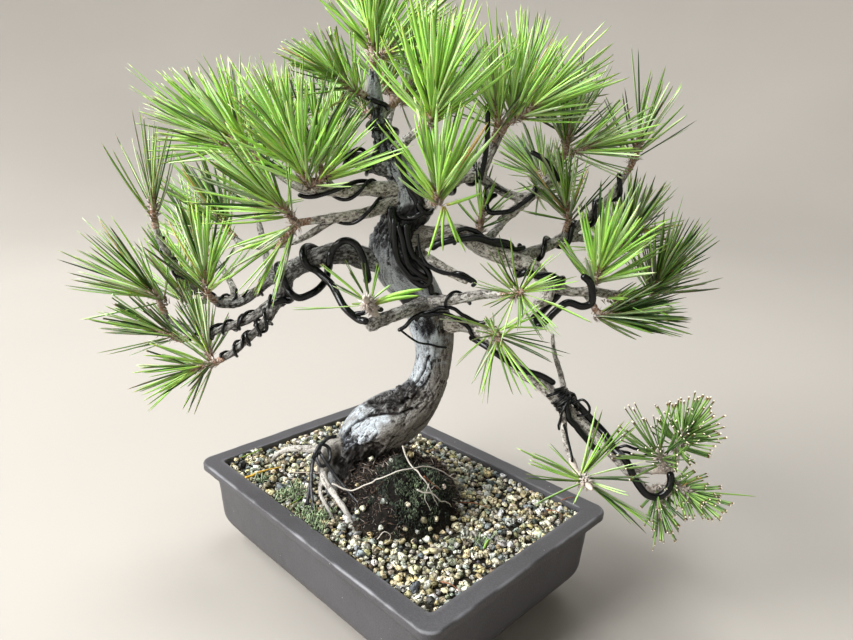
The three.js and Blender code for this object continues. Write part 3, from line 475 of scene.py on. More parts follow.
def needle_material():
    """Needles: a brown sheath, a yellow-green root, a green blade and a paler tip. The first number
    is the place along the needle, then its tone from dark to bright, its dryness and a draw, whose
    highest values paint a whitish highlight on a few needles."""
    material, tree, _ = new_material("needle", Roughness=0.38, Specular_IOR_Level=0.32,
                                     Subsurface_Weight=0.12, Subsurface_Scale=0.002)
    along, tone, dry, draw = looks_of(tree)
    dark = ramp(tree, along, (0.05, 100, 86, 48), (0.12, 36, 66, 10), (0.8, 25, 56, 8),
                (0.99, 50, 68, 22))
    bright = ramp(tree, along, (0.05, 196, 184, 112), (0.12, 188, 228, 108), (0.7, 164, 226, 98),
                  (0.99, 160, 200, 90))
    body = blend(tree, tone, dark, bright)
    # Painted highlight: a whitish glint on the few needles with the highest draws.
    body = blend(tree, times(tree, maths(tree, "POWER", draw, 4), 0.6), body, colour(232, 248, 206))
    straw = ramp(tree, along, (0.1, 150, 110, 62), (0.9, 206, 176, 110))
    body = blend(tree, dry, body, straw)
    return painted(material, body)


def cut_needle_material():
    """Cut needles: green, with a dry brown line and a pale dot of resin where they were cut."""
    material, tree, _ = new_material("cut_needle", Roughness=0.4, Specular_IOR_Level=0.5)
    along, tone, dry, draw = looks_of(tree)
    dark = ramp(tree, along, (0.06, 96, 84, 48), (0.2, 56, 92, 46), (0.88, 74, 112, 58),
                (0.935, 84, 60, 36), (0.972, 92, 68, 42), (0.98, 230, 220, 196))
    bright = ramp(tree, along, (0.06, 160, 148, 88), (0.2, 124, 166, 80), (0.88, 150, 186, 100),
                  (0.935, 112, 84, 50), (0.972, 116, 88, 56), (0.98, 240, 232, 210))
    body = blend(tree, tone, dark, bright)
    straw = ramp(tree, along, (0.1, 170, 128, 60), (0.9, 226, 186, 96))
    body = blend(tree, dry, body, straw)
    body = blend(tree, times(tree, draw, 0.2), body, colour(110, 120, 60))
    return painted(material, body)


def shoot_material():
    """A shoot's scales: red-brown, with pale papery edges."""
    material, tree, place = new_material("shoot", Roughness=0.75)
    height, pale, _, _ = looks_of(tree)
    fine = noise(tree, place, 0.8, 3)
    body = ramp(tree, height, (0.1, 44, 26, 18), (0.5, 122, 80, 54), (0.9, 178, 148, 122))
    body = blend(tree, pale, body, colour(226, 218, 208))
    body = blend(tree, times(tree, fine, 0.35), body, colour(84, 66, 54))
    bumped(tree, fine, 0.25)
    return painted(material, body)


def wire_material():
    """Black-coated aluminium wire, glossy, with a faint dust on it."""
    material, tree, place = new_material("wire", Specular_IOR_Level=0.36)
    dust = noise(tree, place, 4, 3)
    body = ramp(tree, dust, (0.45, 2, 3, 5), (0.8, 10, 12, 16))
    to_shader(tree, "Roughness", between(tree, dust, 0.12, 0.22))
    return painted(material, body)


def strap_material():
    """A soft black plastic strip, scuffed grey-blue on its raised edges."""
    material, tree, place = new_material("strap", Specular_IOR_Level=0.5)
    scuff = noise(tree, place, 2.2, 4)
    body = ramp(tree, scuff, (0.5, 3, 4, 7), (0.8, 22, 29, 44))
    to_shader(tree, "Roughness", between(tree, scuff, 0.22, 0.5))
    bumped(tree, scuff, 0.3)
    return painted(material, body)


def gravel_material():
    """Grains of river sand: each holds its own colour, and mottling and a fine grain lie on it."""
    material, tree, place = new_material("gravel", Roughness=0.62, Specular_IOR_Level=0.4)
    own = held(tree, "looks").outputs["Color"]
    body = blend(tree, times(tree, noise(tree, place, 1.6, 3), 0.3), own, colour(100, 92, 74))
    bumped(tree, noise(tree, place, 0.7, 2), 0.15)
    return painted(material, body)


def ground_material():
    """Fine sand between the grains, made dark as painted shade in the gaps, and black fibrous soil on the
    mound, partly painted shade under the trunk.
    """
    material, tree, place = new_material("ground", Roughness=0.95, Specular_IOR_Level=0.2)
    mound, _, _, _ = looks_of(tree)
    crumbs = noise(tree, place, 2.2, 4)
    # Painted shade: the sand is dark for the shadow in the gaps between grains, and the soil near-black
    # partly for the shade under the trunk.
    sand = ramp(tree, crumbs, (0.3, 18, 16, 13), (0.7, 60, 54, 42))
    soil = ramp(tree, crumbs, (0.35, 7, 6, 5), (0.75, 29, 24, 19))
    body = blend(tree, mound, sand, soil)
    bumped(tree, crumbs, 1.2)
    return painted(material, body)


def moss_material():
    """Moss: dark at its foot, blue-green to yellow-green at its tips."""
    material, tree, _ = new_material("moss", Roughness=0.7)
    along, tone, _, _ = looks_of(tree)
    deep = ramp(tree, along, (0.0, 10, 13, 8), (0.9, 44, 56, 42))
    fresh = ramp(tree, along, (0.0, 26, 32, 18), (0.9, 160, 180, 138))
    return painted(material, blend(tree, tone, deep, fresh))


def fibre_material():
    """Rootlets and dry stalks, from dark brown to bone white by the first number."""
    material, tree, place = new_material("fibre", Roughness=0.7)
    pale, red, yellow, _ = looks_of(tree)
    body = blend(tree, pale, colour(44, 33, 25), colour(198, 193, 184))
    body = blend(tree, red, body, colour(150, 84, 42))
    body = blend(tree, yellow, body, colour(214, 170, 52))
    body = blend(tree, times(tree, noise(tree, place, 3, 2), 0.35), body, colour(120, 100, 80))
    return painted(material, body)


def floor_material():
    """A pale matt floor with a very soft cloud in it."""
    material, tree, place = new_material("floor", Roughness=0.6, Specular_IOR_Level=0.3)
    soft = noise(tree, place, 900, 2)
    body = ramp(tree, soft, (0.3, 156, 151, 144), (0.7, 162, 157, 150))
    return painted(material, body)


clay = clay_material()
bark = bark_material()
needle = needle_material()
cut_needle = cut_needle_material()
shoot_bark = shoot_material()
wire = wire_material()
strap = strap_material()
gravel = gravel_material()
ground = ground_material()
moss = moss_material()
fibre = fibre_material()
pale_floor = floor_material()

# Pot


def corner_round(inset, height, reach, start, end, steps, corner):
    """A round stretch of the pot's profile: (inset - reach · cos t, height + reach · sin t) while t
    turns from start to end, in degrees."""
    t = np.radians(np.linspace(start, end, steps))
    return np.stack([inset - reach * np.cos(t), height + reach * np.sin(t), np.full(steps, corner)], -1)


def straight(start, end, steps):
    """Even steps of the profile from one (inset, height, corner radius) to another."""
    return np.linspace(start, end, steps)


def rounded_rings(profile, half, steps):
    """A ring for each (inset, height, corner radius) of a profile: a rectangle with these half sides,
    drawn in by the inset, whose corners are quarter circles. It runs clockwise seen from above."""
    signs = np.array([[1, 1], [-1, 1], [-1, -1], [1, -1]])
    share, angle = [], []
    for quarter, here in enumerate(signs):
        after = signs[(quarter + 1) % 4]
        arc = np.linspace(0, 1, 8)
        along = np.linspace(0, 1, steps[quarter % 2])[1:-1, None]
        share += [np.tile(here, (8, 1)), here + (after - here) * along]
        angle += [(quarter + arc) * np.pi / 2, np.full(len(along), (quarter + 1) * np.pi / 2)]
    share = np.vstack(share)[::-1]
    angle = np.concatenate(angle)[::-1]
    inset, height, corner = np.asarray(profile, float).T[:, :, None]
    x = share[:, 0] * (half[0] - inset - corner) + corner * np.cos(angle)
    y = share[:, 1] * (half[1] - inset - corner) + corner * np.sin(angle)
    return np.stack([x, y, height + 0 * x], -1)


def inset_from_edge(points):
    """How far inside the lip's outline a point lies: the distance to a rectangle with round corners."""
    over = np.abs(points[:, :2]) - (np.array([POT_LENGTH, POT_WIDTH]) / 2 - LIP_CORNER)
    outside = np.linalg.norm(np.maximum(over, 0), axis=1)
    return LIP_CORNER - outside - np.minimum(over.max(1), 0)


def pot_shell():
    """The pot's outside, lip and inside as one closed skin, a little uneven from the hand. Each point
    of its profile is (inset from the lip's edge, height, corner radius)."""
    profile = np.vstack([
        straight((70, FOOT_HEIGHT, 6), (29, FOOT_HEIGHT, 11), 4),
        corner_round(28, FOOT_HEIGHT + 20, 20, -90, 0, 12, 12),
        straight((7.9, 28, 12), (6.1, 56.6, 12), 14),
        [(5.9, 57.3, 12), (5.4, 57.8, 11.6), (4.6, LIP_UNDER, 11)],
        corner_round(1.1, LIP_UNDER + 1.1, 1.1, -90, 0, 5, LIP_CORNER),
        straight((0, 59.8, LIP_CORNER), (0, 62.4, LIP_CORNER), 3),
        corner_round(1.2, LIP_TOP - 1.2, 1.2, 0, 90, 6, LIP_CORNER),
        straight((2, 64.02, 8.6), (11, 64.02, 5), 7),
        corner_round(11.5, LIP_TOP - 1, 1, 90, 180, 5, 4),
        straight((12.7, 60, 4), (14.5, 29, 6), 9),
        corner_round(30.5, POT_FLOOR + 16, 16, 0, -90, 9, 6),
        straight((34, POT_FLOOR, 6), (70, POT_FLOOR, 6), 3),
    ])
    grid = rounded_rings(profile, (POT_LENGTH / 2, POT_WIDTH / 2), (112, 78))
    points, faces = capped(grid)
    lumps = three_noises(points / 34 + 9, 3)
    return points + 0.32 * lumps * [1, 1, 0.6] + 0.1 * three_noises(points / 7 + 4, 13), faces


def pot_feet():
    """Four low feet with rounded edges, sunk into the pot's floor."""
    profile = [(9, 0, 2), (1.6, 0, 4), (0.5, 0.45, 4.6), (0, 1.6, 5), (0, 5, 5), (0.3, 9, 5), (9, 9.2, 2)]
    block, faces = capped(rounded_rings(profile, (18, 12), (8, 6)))
    return joined([(block + place, faces) for place in FOOT_PLACES])


def bored(points, faces, places, radius, low, high):
    """The mesh with round holes cut straight through it: (points, faces)."""
    body = in_scene("body", make_mesh("body", points, faces))
    turn = np.linspace(0, 2 * np.pi, 36, endpoint=False)
    ring = np.stack([np.cos(turn), -np.sin(turn), 0 * turn], -1) * radius
    pins = [capped(np.stack([ring + [x, y, low], ring + [x, y, high]])) for x, y in places]
    pin = in_scene("pin", make_mesh("pin", *joined(pins)))
    cut = body.modifiers.new("cut", "BOOLEAN")
    cut.operation = "DIFFERENCE"
    cut.solver = "EXACT"
    cut.object = pin
    result = applied(body)
    bpy.data.objects.remove(pin)
    return result[:2]


def applied(body):
    """An object's mesh with its modifiers applied, as (points in mm, faces by corner count, normals).
    The object is removed."""
    shaped = body.evaluated_get(bpy.context.evaluated_depsgraph_get())
    mesh = shaped.to_mesh()
    points = np.empty(len(mesh.vertices) * 3)
    mesh.vertices.foreach_get("co", points)
    normals = np.empty(len(mesh.vertices) * 3)
    mesh.vertices.foreach_get("normal", normals)
    corners = np.empty(len(mesh.loops), int)
    mesh.loops.foreach_get("vertex_index", corners)
    starts = np.empty(len(mesh.polygons), int)
    mesh.polygons.foreach_get("loop_start", starts)
    counts = np.empty(len(mesh.polygons), int)
    mesh.polygons.foreach_get("loop_total", counts)
    faces = [corners[starts[counts == count][:, None] + np.arange(count)]
             for count in np.unique(counts)]
    shaped.to_mesh_clear()
    bpy.data.objects.remove(body)
    return points.reshape(-1, 3) * 1000, faces, normals.reshape(-1, 3)


def make_pot():
    """The pot with its feet and drainage holes, paler on its lip's edges from wear and painted highlight,
    with painted shade under the lip, and darker towards its foot.
    """
    shell = bored(*pot_shell(), DRAIN_PLACES, DRAIN_RADIUS, FOOT_HEIGHT - 4, POT_FLOOR + 4)
    points, faces = joined([shell, pot_feet()])
    inset = inset_from_edge(points)
    patchy = 0.5 + 0.5 * rough_noise(points / 9, 3, 21)
    height = points[:, 2]
    # The lip's outer edge is paler from wear and painted highlight; its inner rounded edge is paler as
    # painted highlight.
    edge = smoothly(62.4, 63.4, height) * (1 - smoothly(0.6, 1.9, inset))
    inner = smoothly(62.4, 63.6, height) * smoothly(10.6, 11.6, inset) * (1 - smoothly(12.2, 13, inset))
    # A band of painted shade under the lip's overhang.
    under = smoothly(59.6, 58.4, height) * smoothly(57.8, 58.2, height)
    wear_and_highlight = np.clip(0.75 * edge * smoothly(0.2, 0.9, patchy) + 0.35 * inner * patchy, 0, 1)
    # Darker towards the foot, plus the painted shade under the lip.
    dark_and_shade = 0.5 * smoothly(24, FOOT_HEIGHT, height) * patchy + 0.4 * under
    looks = np.stack([wear_and_highlight, np.clip(dark_and_shade, 0, 1)], -1)
    make_piece("pot_body", points + POT_MIDDLE, faces, clay, looks, ["pot"])


# Ground, gravel and moss

CAVITY = np.array([POT_LENGTH, POT_WIDTH]) / 2 - RIM_WIDTH
MOUND_MIDDLE = (np.array([4, -17, 0]) @ TREE_AXES)[:2]
MOUND_RADIUS = 43
MOUND_HEIGHT = 34
HOLLOW_MIDDLE = (np.array([-31, -42, 0]) @ TREE_AXES)[:2]
HOLLOW_REACH = 15
GROUND_UNDERSIDE = 40
MOSS_MIDDLE = np.array([17, -38])
MOSS_REACH = np.array([25, 24])


def mound_height(x, y):
    """A lump of soil h · (1 - d²)^0.6 high, d being the distance from its middle over its radius. A
    hollow e^-(distance²/reach²) under the bare roots takes away up to three quarters of it."""
    away = np.hypot(x - MOUND_MIDDLE[0], y - MOUND_MIDDLE[1]) / MOUND_RADIUS
    lumps = 1 + 0.1 * np.sin(x / 5) * np.cos(y / 6)
    hollow = np.exp(-((x - HOLLOW_MIDDLE[0]) ** 2 + (y - HOLLOW_MIDDLE[1]) ** 2) / HOLLOW_REACH ** 2)
    return MOUND_HEIGHT * lumps * np.clip(1 - away ** 2, 0, 1) ** 0.6 * (1 - 0.75 * hollow)


def from_moss(spots):
    """How far spots lie from the middle of the moss: 0 there, 1 at its edge."""
    return np.hypot(*((spots - MOSS_MIDDLE) / MOSS_REACH).T)


def ground_height(x, y):
    """The level of the sand, waved by soft noise, with the mound and its crumbs on it."""
    flat = np.stack([x, y, 0 * x], -1)
    mound = mound_height(x, y)
    crumbs = 1.9 * rough_noise(flat / 6, 4, 31) + 1.2 * np.abs(soft_noise(flat / 2.6, 36))
    return SOIL_LEVEL - 1.6 + 0.9 * soft_noise(flat / 26, 30) + mound + crumbs * np.minimum(mound / 8, 1)


def make_ground():
    """A fine height field inside the pot's wall, closed by a skirt and a flat underside."""
    columns = np.linspace(-1, 1, 176) * (CAVITY[0] + 0.4)
    rows = np.linspace(-1, 1, 118) * (CAVITY[1] + 0.4)
    x, y = np.meshgrid(columns, rows)
    z = ground_height(x, y)
    index = np.arange(x.size).reshape(x.shape)
    top = np.stack([index[:-1, :-1], index[:-1, 1:], index[1:, 1:], index[1:, :-1]], -1).reshape(-1, 4)
    rim = np.concatenate([index[0, :-1], index[:-1, -1], index[-1, :0:-1], index[:0:-1, 0]])
    points = np.stack([x, y, z], -1).reshape(-1, 3)
    under = points[rim] * [1, 1, 0] + [0, 0, GROUND_UNDERSIDE]
    lower = np.arange(len(rim)) + len(points)
    skirt = np.stack([rim, lower, np.roll(lower, -1), np.roll(rim, -1)], -1)
    bottom = fan(len(points) + len(rim), lower[::-1])
    points = np.vstack([points, under, [[0, 0, GROUND_UNDERSIDE]]])
    looks = np.zeros((len(points), 1))
    looks[:x.size, 0] = smoothly(1.5, 7, mound_height(x, y)).ravel()
    make_piece("ground", points + POT_MIDDLE, [top, skirt, bottom], ground, looks, ["soil"])


def pebble_form():
    """A twelve-sided form on a unit ball, each side cut in three: (points, faces)."""
    g = (1 + 5 ** 0.5) / 2
    cube = np.array(list(np.ndindex(2, 2, 2))) * 2.0 - 1
    pairs = np.array(list(np.ndindex(2, 2))) * 2.0 - 1
    flat = np.stack([0 * pairs[:, 0], pairs[:, 0] / g, pairs[:, 1] * g], -1)
    points = unit(np.vstack([cube, flat, flat[:, [1, 2, 0]], flat[:, [2, 0, 1]]]))
    facing = np.stack([0 * pairs[:, 0], pairs[:, 0], pairs[:, 1] * g], -1)
    tops = unit(np.vstack([np.roll(facing, k, 1) for k in range(3)]))
    faces = []
    for top in tops:
        near = np.argsort(-(points @ top))[:5]
        across = unit(points[near[0]] - top * (points[near[0]] @ top))
        turn = np.arctan2(points[near] @ np.cross(top, across), points[near] @ across)
        a, b, c, d, e = near[np.argsort(turn)]
        faces += [(a, b, c), (a, c, d), (a, d, e)]
    return points, np.array(faces)


def turned(points, spin):
    """Points turned by the rotation that each row of four random numbers stands for, as a quaternion."""
    w, x, y, z = unit(spin).T
    turn = np.array([
        [1 - 2 * (y * y + z * z), 2 * (x * y - z * w), 2 * (x * z + y * w)],
        [2 * (x * y + z * w), 1 - 2 * (x * x + z * z), 2 * (y * z - x * w)],
        [2 * (x * z - y * w), 2 * (y * z + x * w), 1 - 2 * (x * x + y * y)],
    ])
    return np.einsum("ijn,nkj->nki", turn, points)


def grains(places, sizes, rng, cuts=7, flatness=0.8):
    """Pebbles at these places: a ball stretched by up to a third each way, cut by random planes that
    lie 0.45 to 0.85 of its radius from its middle, turned, and set down somewhat flat."""
    form, faces = pebble_form()
    count = len(places)
    points = form[None] * rng.uniform(0.74, 1.26, (count, 1, 3))
    for _ in range(cuts):
        facing = unit(rng.normal(size=(count, 3)))
        depth = (points * facing[:, None]).sum(-1) - rng.uniform(0.45, 0.85, (count, 1))
        points = points - np.maximum(depth, 0)[..., None] * facing[:, None]
    points = turned(points, rng.normal(size=(count, 4))) * [1, 1, flatness]
    points = points * sizes[:, None, None] / 1.8 + places[:, None]
    return points.reshape(-1, 3), [repeated(faces, count, len(form))]


GRAIN_COLOURS = np.array([
    (230, 224, 198), (214, 204, 168), (194, 178, 132), (216, 204, 156), (166, 170, 160), (134, 144, 144),
    (92, 100, 104), (248, 247, 240), (178, 170, 142), (116, 104, 80), (150, 158, 134), (212, 212, 202),
    (54, 56, 58), (240, 236, 218),
]) / 255
GRAIN_SHARES = np.array([20, 17, 8, 9, 10, 7, 5, 5, 12, 5, 6, 8, 3, 9])


def spread_places(step, rng, scatter=0.5):
    """A grid of places over the pot's inside, each moved at random by up to scatter of a step."""
    counts = (2 * (CAVITY - 1.2) / step).astype(int)
    x, y = np.meshgrid(*(np.linspace(-1, 1, count) * (half - 1.2) for count, half in zip(counts, CAVITY)))
    places = np.stack([x.ravel(), y.ravel()], -1) + rng.uniform(-scatter, scatter, (x.size, 2)) * step
    return np.clip(places, 1.6 - CAVITY, CAVITY - 1.6)


def make_gravel():
    """Loose grains over the sand, fewer on the mound, and ten stones that stand out."""
    rng = np.random.default_rng(11)
    flat = spread_places(3.45, rng)
    mound = mound_height(*flat.T)
    kept = (mound < 4) | (rng.random(len(flat)) < 0.03 + 0.3 * (mound < 9))
    flat = flat[kept]
    sizes = np.clip(rng.lognormal(1.36, 0.27, len(flat)), 2.2, 7)
    lift = rng.uniform(0.1, 0.55, len(flat)) * sizes
    places = np.column_stack([flat, ground_height(*flat.T) + lift])
    named = np.array([
        (18, -105, 6.8, 6), (28, -113, 5.6, 7), (6, -83, 5.2, 13), (-78, -4, 6, 5), (19, -94, 5, 12),
        (8, -72, 5.4, 12), (75, -62, 5.4, 7), (-30, -51, 6.2, 11), (37, -97, 5, 0), (48, -72, 5.6, 3),
    ])
    spots = on_pot(named[:, :2])
    stones = np.column_stack([spots, ground_height(*spots.T) + 0.55 * named[:, 2]])
    places = np.vstack([places, stones])
    sizes = np.concatenate([sizes, named[:, 2]])
    points, faces = grains(places, sizes, rng)
    kind = rng.choice(len(GRAIN_COLOURS), len(places), p=GRAIN_SHARES / GRAIN_SHARES.sum())
    kind[-len(named):] = named[:, 3].astype(int)
    shade = GRAIN_COLOURS[kind] * rng.uniform(0.82, 1.12, (len(places), 1))
    shade = shade + rng.normal(0, 0.012, (len(places), 3))
    linear = np.repeat(np.clip(shade, 0.02, 0.97) ** 2.2, len(points) // len(places), axis=0)
    make_piece("gravel_grains", points + POT_MIDDLE, faces, gravel, linear)


def blades(base, tip, width, rng):
    """Thin blades with three sides: three corners round the base, width apart, and one at the tip."""
    lean = unit(tip - base)
    across = unit(np.cross(lean, rng.normal(size=base.shape)))
    side = np.cross(across, lean)
    ring = around(np.arange(3) * 2 * np.pi / 3, across[:, None], side[:, None])
    corners = base[:, None] + ring * width[:, None, None] * 0.58
    points = np.concatenate([corners, tip[:, None]], 1).reshape(-1, 3)
    form = np.array([(0, 1, 2), (0, 3, 1), (1, 3, 2), (2, 3, 0)])
    return points, [repeated(form, len(base), 4)]


def make_moss():
    """A cushion of short blades over the front of the mound, brightest in its middle."""
    rng = np.random.default_rng(23)
    spots = np.column_stack([rng.uniform(-14, 46, 9000), rng.uniform(-62, -6, 9000)])
    away = from_moss(spots)
    level = np.column_stack([spots, 0 * away])
    inside = away + 0.45 * soft_noise(level / 7, 41) < 0.95
    kept = inside & (soft_noise(level / 3, 42) > -0.25)
    flat = on_pot(spots[kept])
    base = np.column_stack([flat, ground_height(*flat.T) - 0.5])
    lean = rng.normal(0, 0.45, base.shape) + [0, 0, 1]
    tall = rng.uniform(1.2, 2.9, len(base))
    points, faces = blades(base, base + unit(lean) * tall[:, None], rng.uniform(0.5, 1.1, len(base)), rng)
    tone = 0.68 - away[kept] + 0.4 * soft_noise(base / 3, 43) + rng.normal(0, 0.26, len(base))
    looks = np.column_stack([np.tile([0, 0, 0, 1.0], len(base)), np.repeat(np.clip(tone, 0, 1), 4)])
    make_piece("moss", points + POT_MIDDLE, faces, moss, looks)


# Wood: each limb is a list of [x, y, z, radius] along its middle

LIMBS = {
    "trunk": [[-24, 6, 44, 19], [-25, 5, 77, 20], [-9, 2, 106, 20.6], [9, 0, 121.5, 16.2],
        [21.5, -1, 138.5, 12.4], [25.5, 0, 160, 11.8], [23, 2, 180, 13.5], [15, 5, 199, 13],
        [2, 5, 215, 15], [-3, 3, 232, 14], [3, 0, 247, 12.5], [9, -2, 258, 12], [7, 0, 269, 10],
        [-2, 2, 281, 8.2], [-8, 3, 295, 6.6], [-13, 4, 309, 5], [-15, 5, 324, 3.8], [-16, 5, 336, 2.4]],
    "left_main": [[-3, 0, 221, 9], [-16, 0, 222, 7.2], [-28, -4, 226, 6.8], [-41, -8, 227, 6.4],
        [-54, -10, 222, 6], [-67, -8, 214, 5.6], [-71, -8, 203, 5.2], [-74, -10, 194, 4.6]],
    "left_upper": [[-66, -8, 213, 4.4], [-79, -2, 208, 3.4], [-90, 2, 199, 2.9], [-102, 5, 190, 2.6],
        [-113, 0, 190, 2.4], [-116, -7, 196, 1.9]],
    "left_low": [[-73, -10, 198, 4], [-81, -14, 184, 3], [-91, -18, 174, 2.6], [-101, -22, 165, 2.4],
        [-109, -21, 160, 1.9]],
    "left_mid": [[-72, -9, 199, 4.2], [-92, -8, 184, 3], [-110, -6, 176, 2.6], [-124, -4, 170, 2.4],
        [-137, -3, 167, 1.9]],
    "left_tip": [[-121, -4, 171, 2.4], [-138, 1, 174, 2.2], [-148, 1, 180, 2], [-151, 0, 187, 1.8]],
    "left_back": [[-89, 2, 199, 3.2], [-108, 13, 190, 2.7], [-126, 16, 190, 2.5], [-139, 8, 206, 2.4],
        [-143, 0, 220, 2.3], [-148, -3, 233, 2.1], [-149, -4, 243, 1.8]],
    "left_inner": [[-124, 16, 190, 2.3], [-131, 20, 186, 2], [-137, 19, 186, 1.8]],
    "left_far": [[-107, 13, 190, 2.6], [-116, 34, 196, 2.3], [-128, 48, 206, 2.1], [-138, 56, 213, 1.8]],
    "left_rear": [[-78, -2, 208, 3], [-88, 22, 218, 2.6], [-96, 42, 232, 2.3], [-101, 53, 241, 1.8]],
    "cut_front": [[19, -6, 197, 5], [5, -22, 195, 4.2], [-5, -30, 193, 4.2], [-15, -37, 190, 4.2]],
    "cut_twig": [[-8, -32, 194, 2.4], [-12, -37, 199, 1.8]],
    "front_right": [[20, -6, 197, 4.4], [39, -20, 204, 3.4], [54, -27, 209, 3], [64, -35, 211, 2.2]],
    "lower": [[24, 1, 181, 7], [47, -10, 184, 5], [60, -18, 179, 4.6], [80, -26, 160, 4.2],
        [91, -30, 154, 4], [106, -35, 142, 3.8], [116, -38, 133, 3.5], [136, -46, 115, 3],
        [151, -52, 101, 2.6], [158, -54, 96, 2]],
    "lower_twig": [[59, -18, 180, 2.8], [61, -25, 184, 1.8]],
    "lower_fork": [[104, -34, 144, 2.8], [105, -40, 134, 2.3], [107, -46, 121, 2.1], [111, -53, 111, 1.8]],
    "lower_dry": [[107, -34, 144, 2.3], [103, -32, 160, 1.9], [98, -30, 174, 1.6], [96, -28, 186, 1.3]],
    "lower_end": [[143, -49, 110, 2.4], [154, -53, 109, 2.1], [161, -54, 110, 1.8]],
    "right_main": [[11, 0, 237, 8], [25, -6, 240, 5.8], [39, -8, 242, 5.4], [54, -8, 233, 5.4],
        [71, -8, 227, 5.2], [86, -10, 221, 5], [93, -14, 212, 4.4], [92, -18, 204, 3.6],
        [85, -21, 202, 2.6]],
    "right_cut": [[13, -3, 227, 5], [23, -16, 225, 3.4], [34, -20, 220, 3], [44, -24, 216, 2.8]],
    "right_rear": [[52, -8, 235, 4.4], [60, 14, 238, 3], [72, 36, 246, 2.4], [88, 54, 256, 1.8]],
    "right_up": [[64, 7, 247, 3.2], [72, 9, 254, 3.4], [81, 10, 262, 3.4], [92, 12, 273, 3],
        [100, 14, 286, 2]],
    "right_up_twig": [[79, 10, 260, 2.6], [88, 22, 265, 2.2], [92, 30, 268, 1.8]],
    "right_far": [[71, -8, 227, 4.8], [92, 8, 231, 3.6], [107, 13, 239, 3.2], [125, 19, 253, 2.9],
        [138, 21, 268, 2.7], [145, 21, 281, 2]],
    "right_far_twig": [[106, 13, 238, 2.6], [107, 10, 246, 1.8]],
    "right_far_low": [[107, 13, 238, 3.2], [126, 22, 236, 2.6], [143, 28, 231, 1.9]],
    "right_far_rear": [[125, 21, 236, 2.4], [136, 40, 232, 2.2], [147, 53, 228, 1.8]],
    "right_low": [[91, -13, 214, 4.2], [108, -10, 208, 3.2], [122, -8, 208, 3], [144, 2, 204, 2.7],
        [161, 6, 206, 2]],
    "right_low_twig": [[119, -8, 208, 2.6], [121, -13, 213, 1.8]],
    "right_low_drop": [[118, -8, 208, 2.6], [124, -10, 199, 1.8]],
    "upper_right": [[12, 0, 257, 7.4], [26, 8, 266, 5], [38, 10, 274, 4.4], [49, 12, 277, 4.2],
        [55, 12, 288, 3.6], [62, 11, 301, 2.2]],
    "upper_right_bridge": [[48, 12, 276, 3.6], [63, 12, 267, 3], [74, 11, 263, 2.9], [83, 10, 264, 2.8]],
    "upper_right_twig": [[55, 12, 289, 2.6], [58, 8, 300, 1.8]],
    "upper_rear": [[36, 10, 273, 3.8], [46, 28, 284, 2.7], [60, 44, 300, 2.4], [76, 54, 316, 1.8]],
    "upper_left": [[6, 0, 266, 7.4], [-16, -10, 267, 4], [-30, -16, 266, 3.6], [-44, -22, 267, 3.2],
        [-53, -26, 268, 2.9], [-66, -24, 275, 2.6], [-79, -21, 284, 1.9]],
    "upper_left_fork": [[-64, -24, 274, 2.4], [-84, -8, 284, 2.2], [-96, 4, 287, 1.8]],
    "upper_left_one": [[-44, -22, 267, 2.6], [-48, -28, 271, 1.8]],
    "upper_left_two": [[-52, -26, 268, 2.6], [-55, -24, 275, 1.8]],
    "upper_left_three": [[-36, -18, 266, 2.6], [-43, -12, 275, 1.8]],
    "left_shoulder": [[3, -3, 262, 6], [-13, -14, 255, 3.6], [-27, -18, 252, 3.2], [-37, -22, 251, 2.9],
        [-52, -26, 249, 2]],
    "left_hanging": [[-36, -22, 251, 2.6], [-57, -14, 237, 2.2], [-80, -2, 229, 2], [-100, 8, 229, 2],
        [-107, 12, 234, 1.8]],
    "rear_knob": [[-3, 1, 279, 7], [-21, 6, 282, 5.5], [-30, 10, 284, 5], [-38, 14, 288, 4]],
    "rear_knob_twig": [[-32, 11, 285, 2.8], [-36, 20, 295, 1.8]],
    "rear_left": [[-36, 13, 286, 3.4], [-52, 30, 290, 2.6], [-67, 46, 291, 1.8]],
    "apex_front": [[-17, 5, 318, 2.8], [-22, 0, 321, 1.8]],
    "apex_right": [[-12, 4, 308, 3.2], [-4, 9, 316, 1.8]],
    "apex_rear": [[-11, 4, 304, 3.4], [-18, 17, 309, 1.8]],
    "apex_far": [[-9, 3, 299, 3.8], [-8, 22, 306, 2.7], [-7, 40, 314, 2.3], [-7, 48, 319, 1.8]],
    "crown_front": [[-4, 2, 288, 4.6], [6, -12, 297, 2.8], [15, -27, 304, 1.8]],
    "hub_front": [[9, -2, 258, 6], [18, -16, 260, 3.2], [22, -25, 262, 2]],
    "root_knot": [[-30, 0, 90, 11], [-42, -6, 92, 6.5], [-46, -10, 88, 5], [-46, -15, 80, 4.2]],
    "root_front": [[-46, -13, 82, 3.4], [-45, -20, 78, 2.6], [-36, -30, 71, 2.1], [-28, -40, 66, 1.9],
        [-20, -52, 58, 1.8], [-16, -58, 48, 1.5]],
    "root_thin": [[-46, -15, 79, 2.2], [-47, -25, 71, 1.5], [-39, -37, 64, 1.3], [-32, -46, 54, 1.1]],
    "root_left": [[-43, -2, 90, 4.6], [-54, 1, 88, 3.1], [-65, 7, 85, 2.5], [-76, 15, 80, 2.1],
        [-87, 26, 69, 1.8], [-95, 35, 56, 1.5]],
    "root_back": [[-24, 14, 72, 12], [-22, 32, 62, 7], [-16, 50, 50, 3.5]],
    "root_right": [[-14, 2, 74, 12], [6, 2, 62, 7.5], [22, 8, 48, 4]],
    "sprig": [[46, -4, 234, 2], [49, 1, 239, 1.7], [51, 4, 243, 1.4]],
}
SUNK = ("trunk", "root_knot", "root_front", "root_thin", "root_left", "root_back", "root_right")


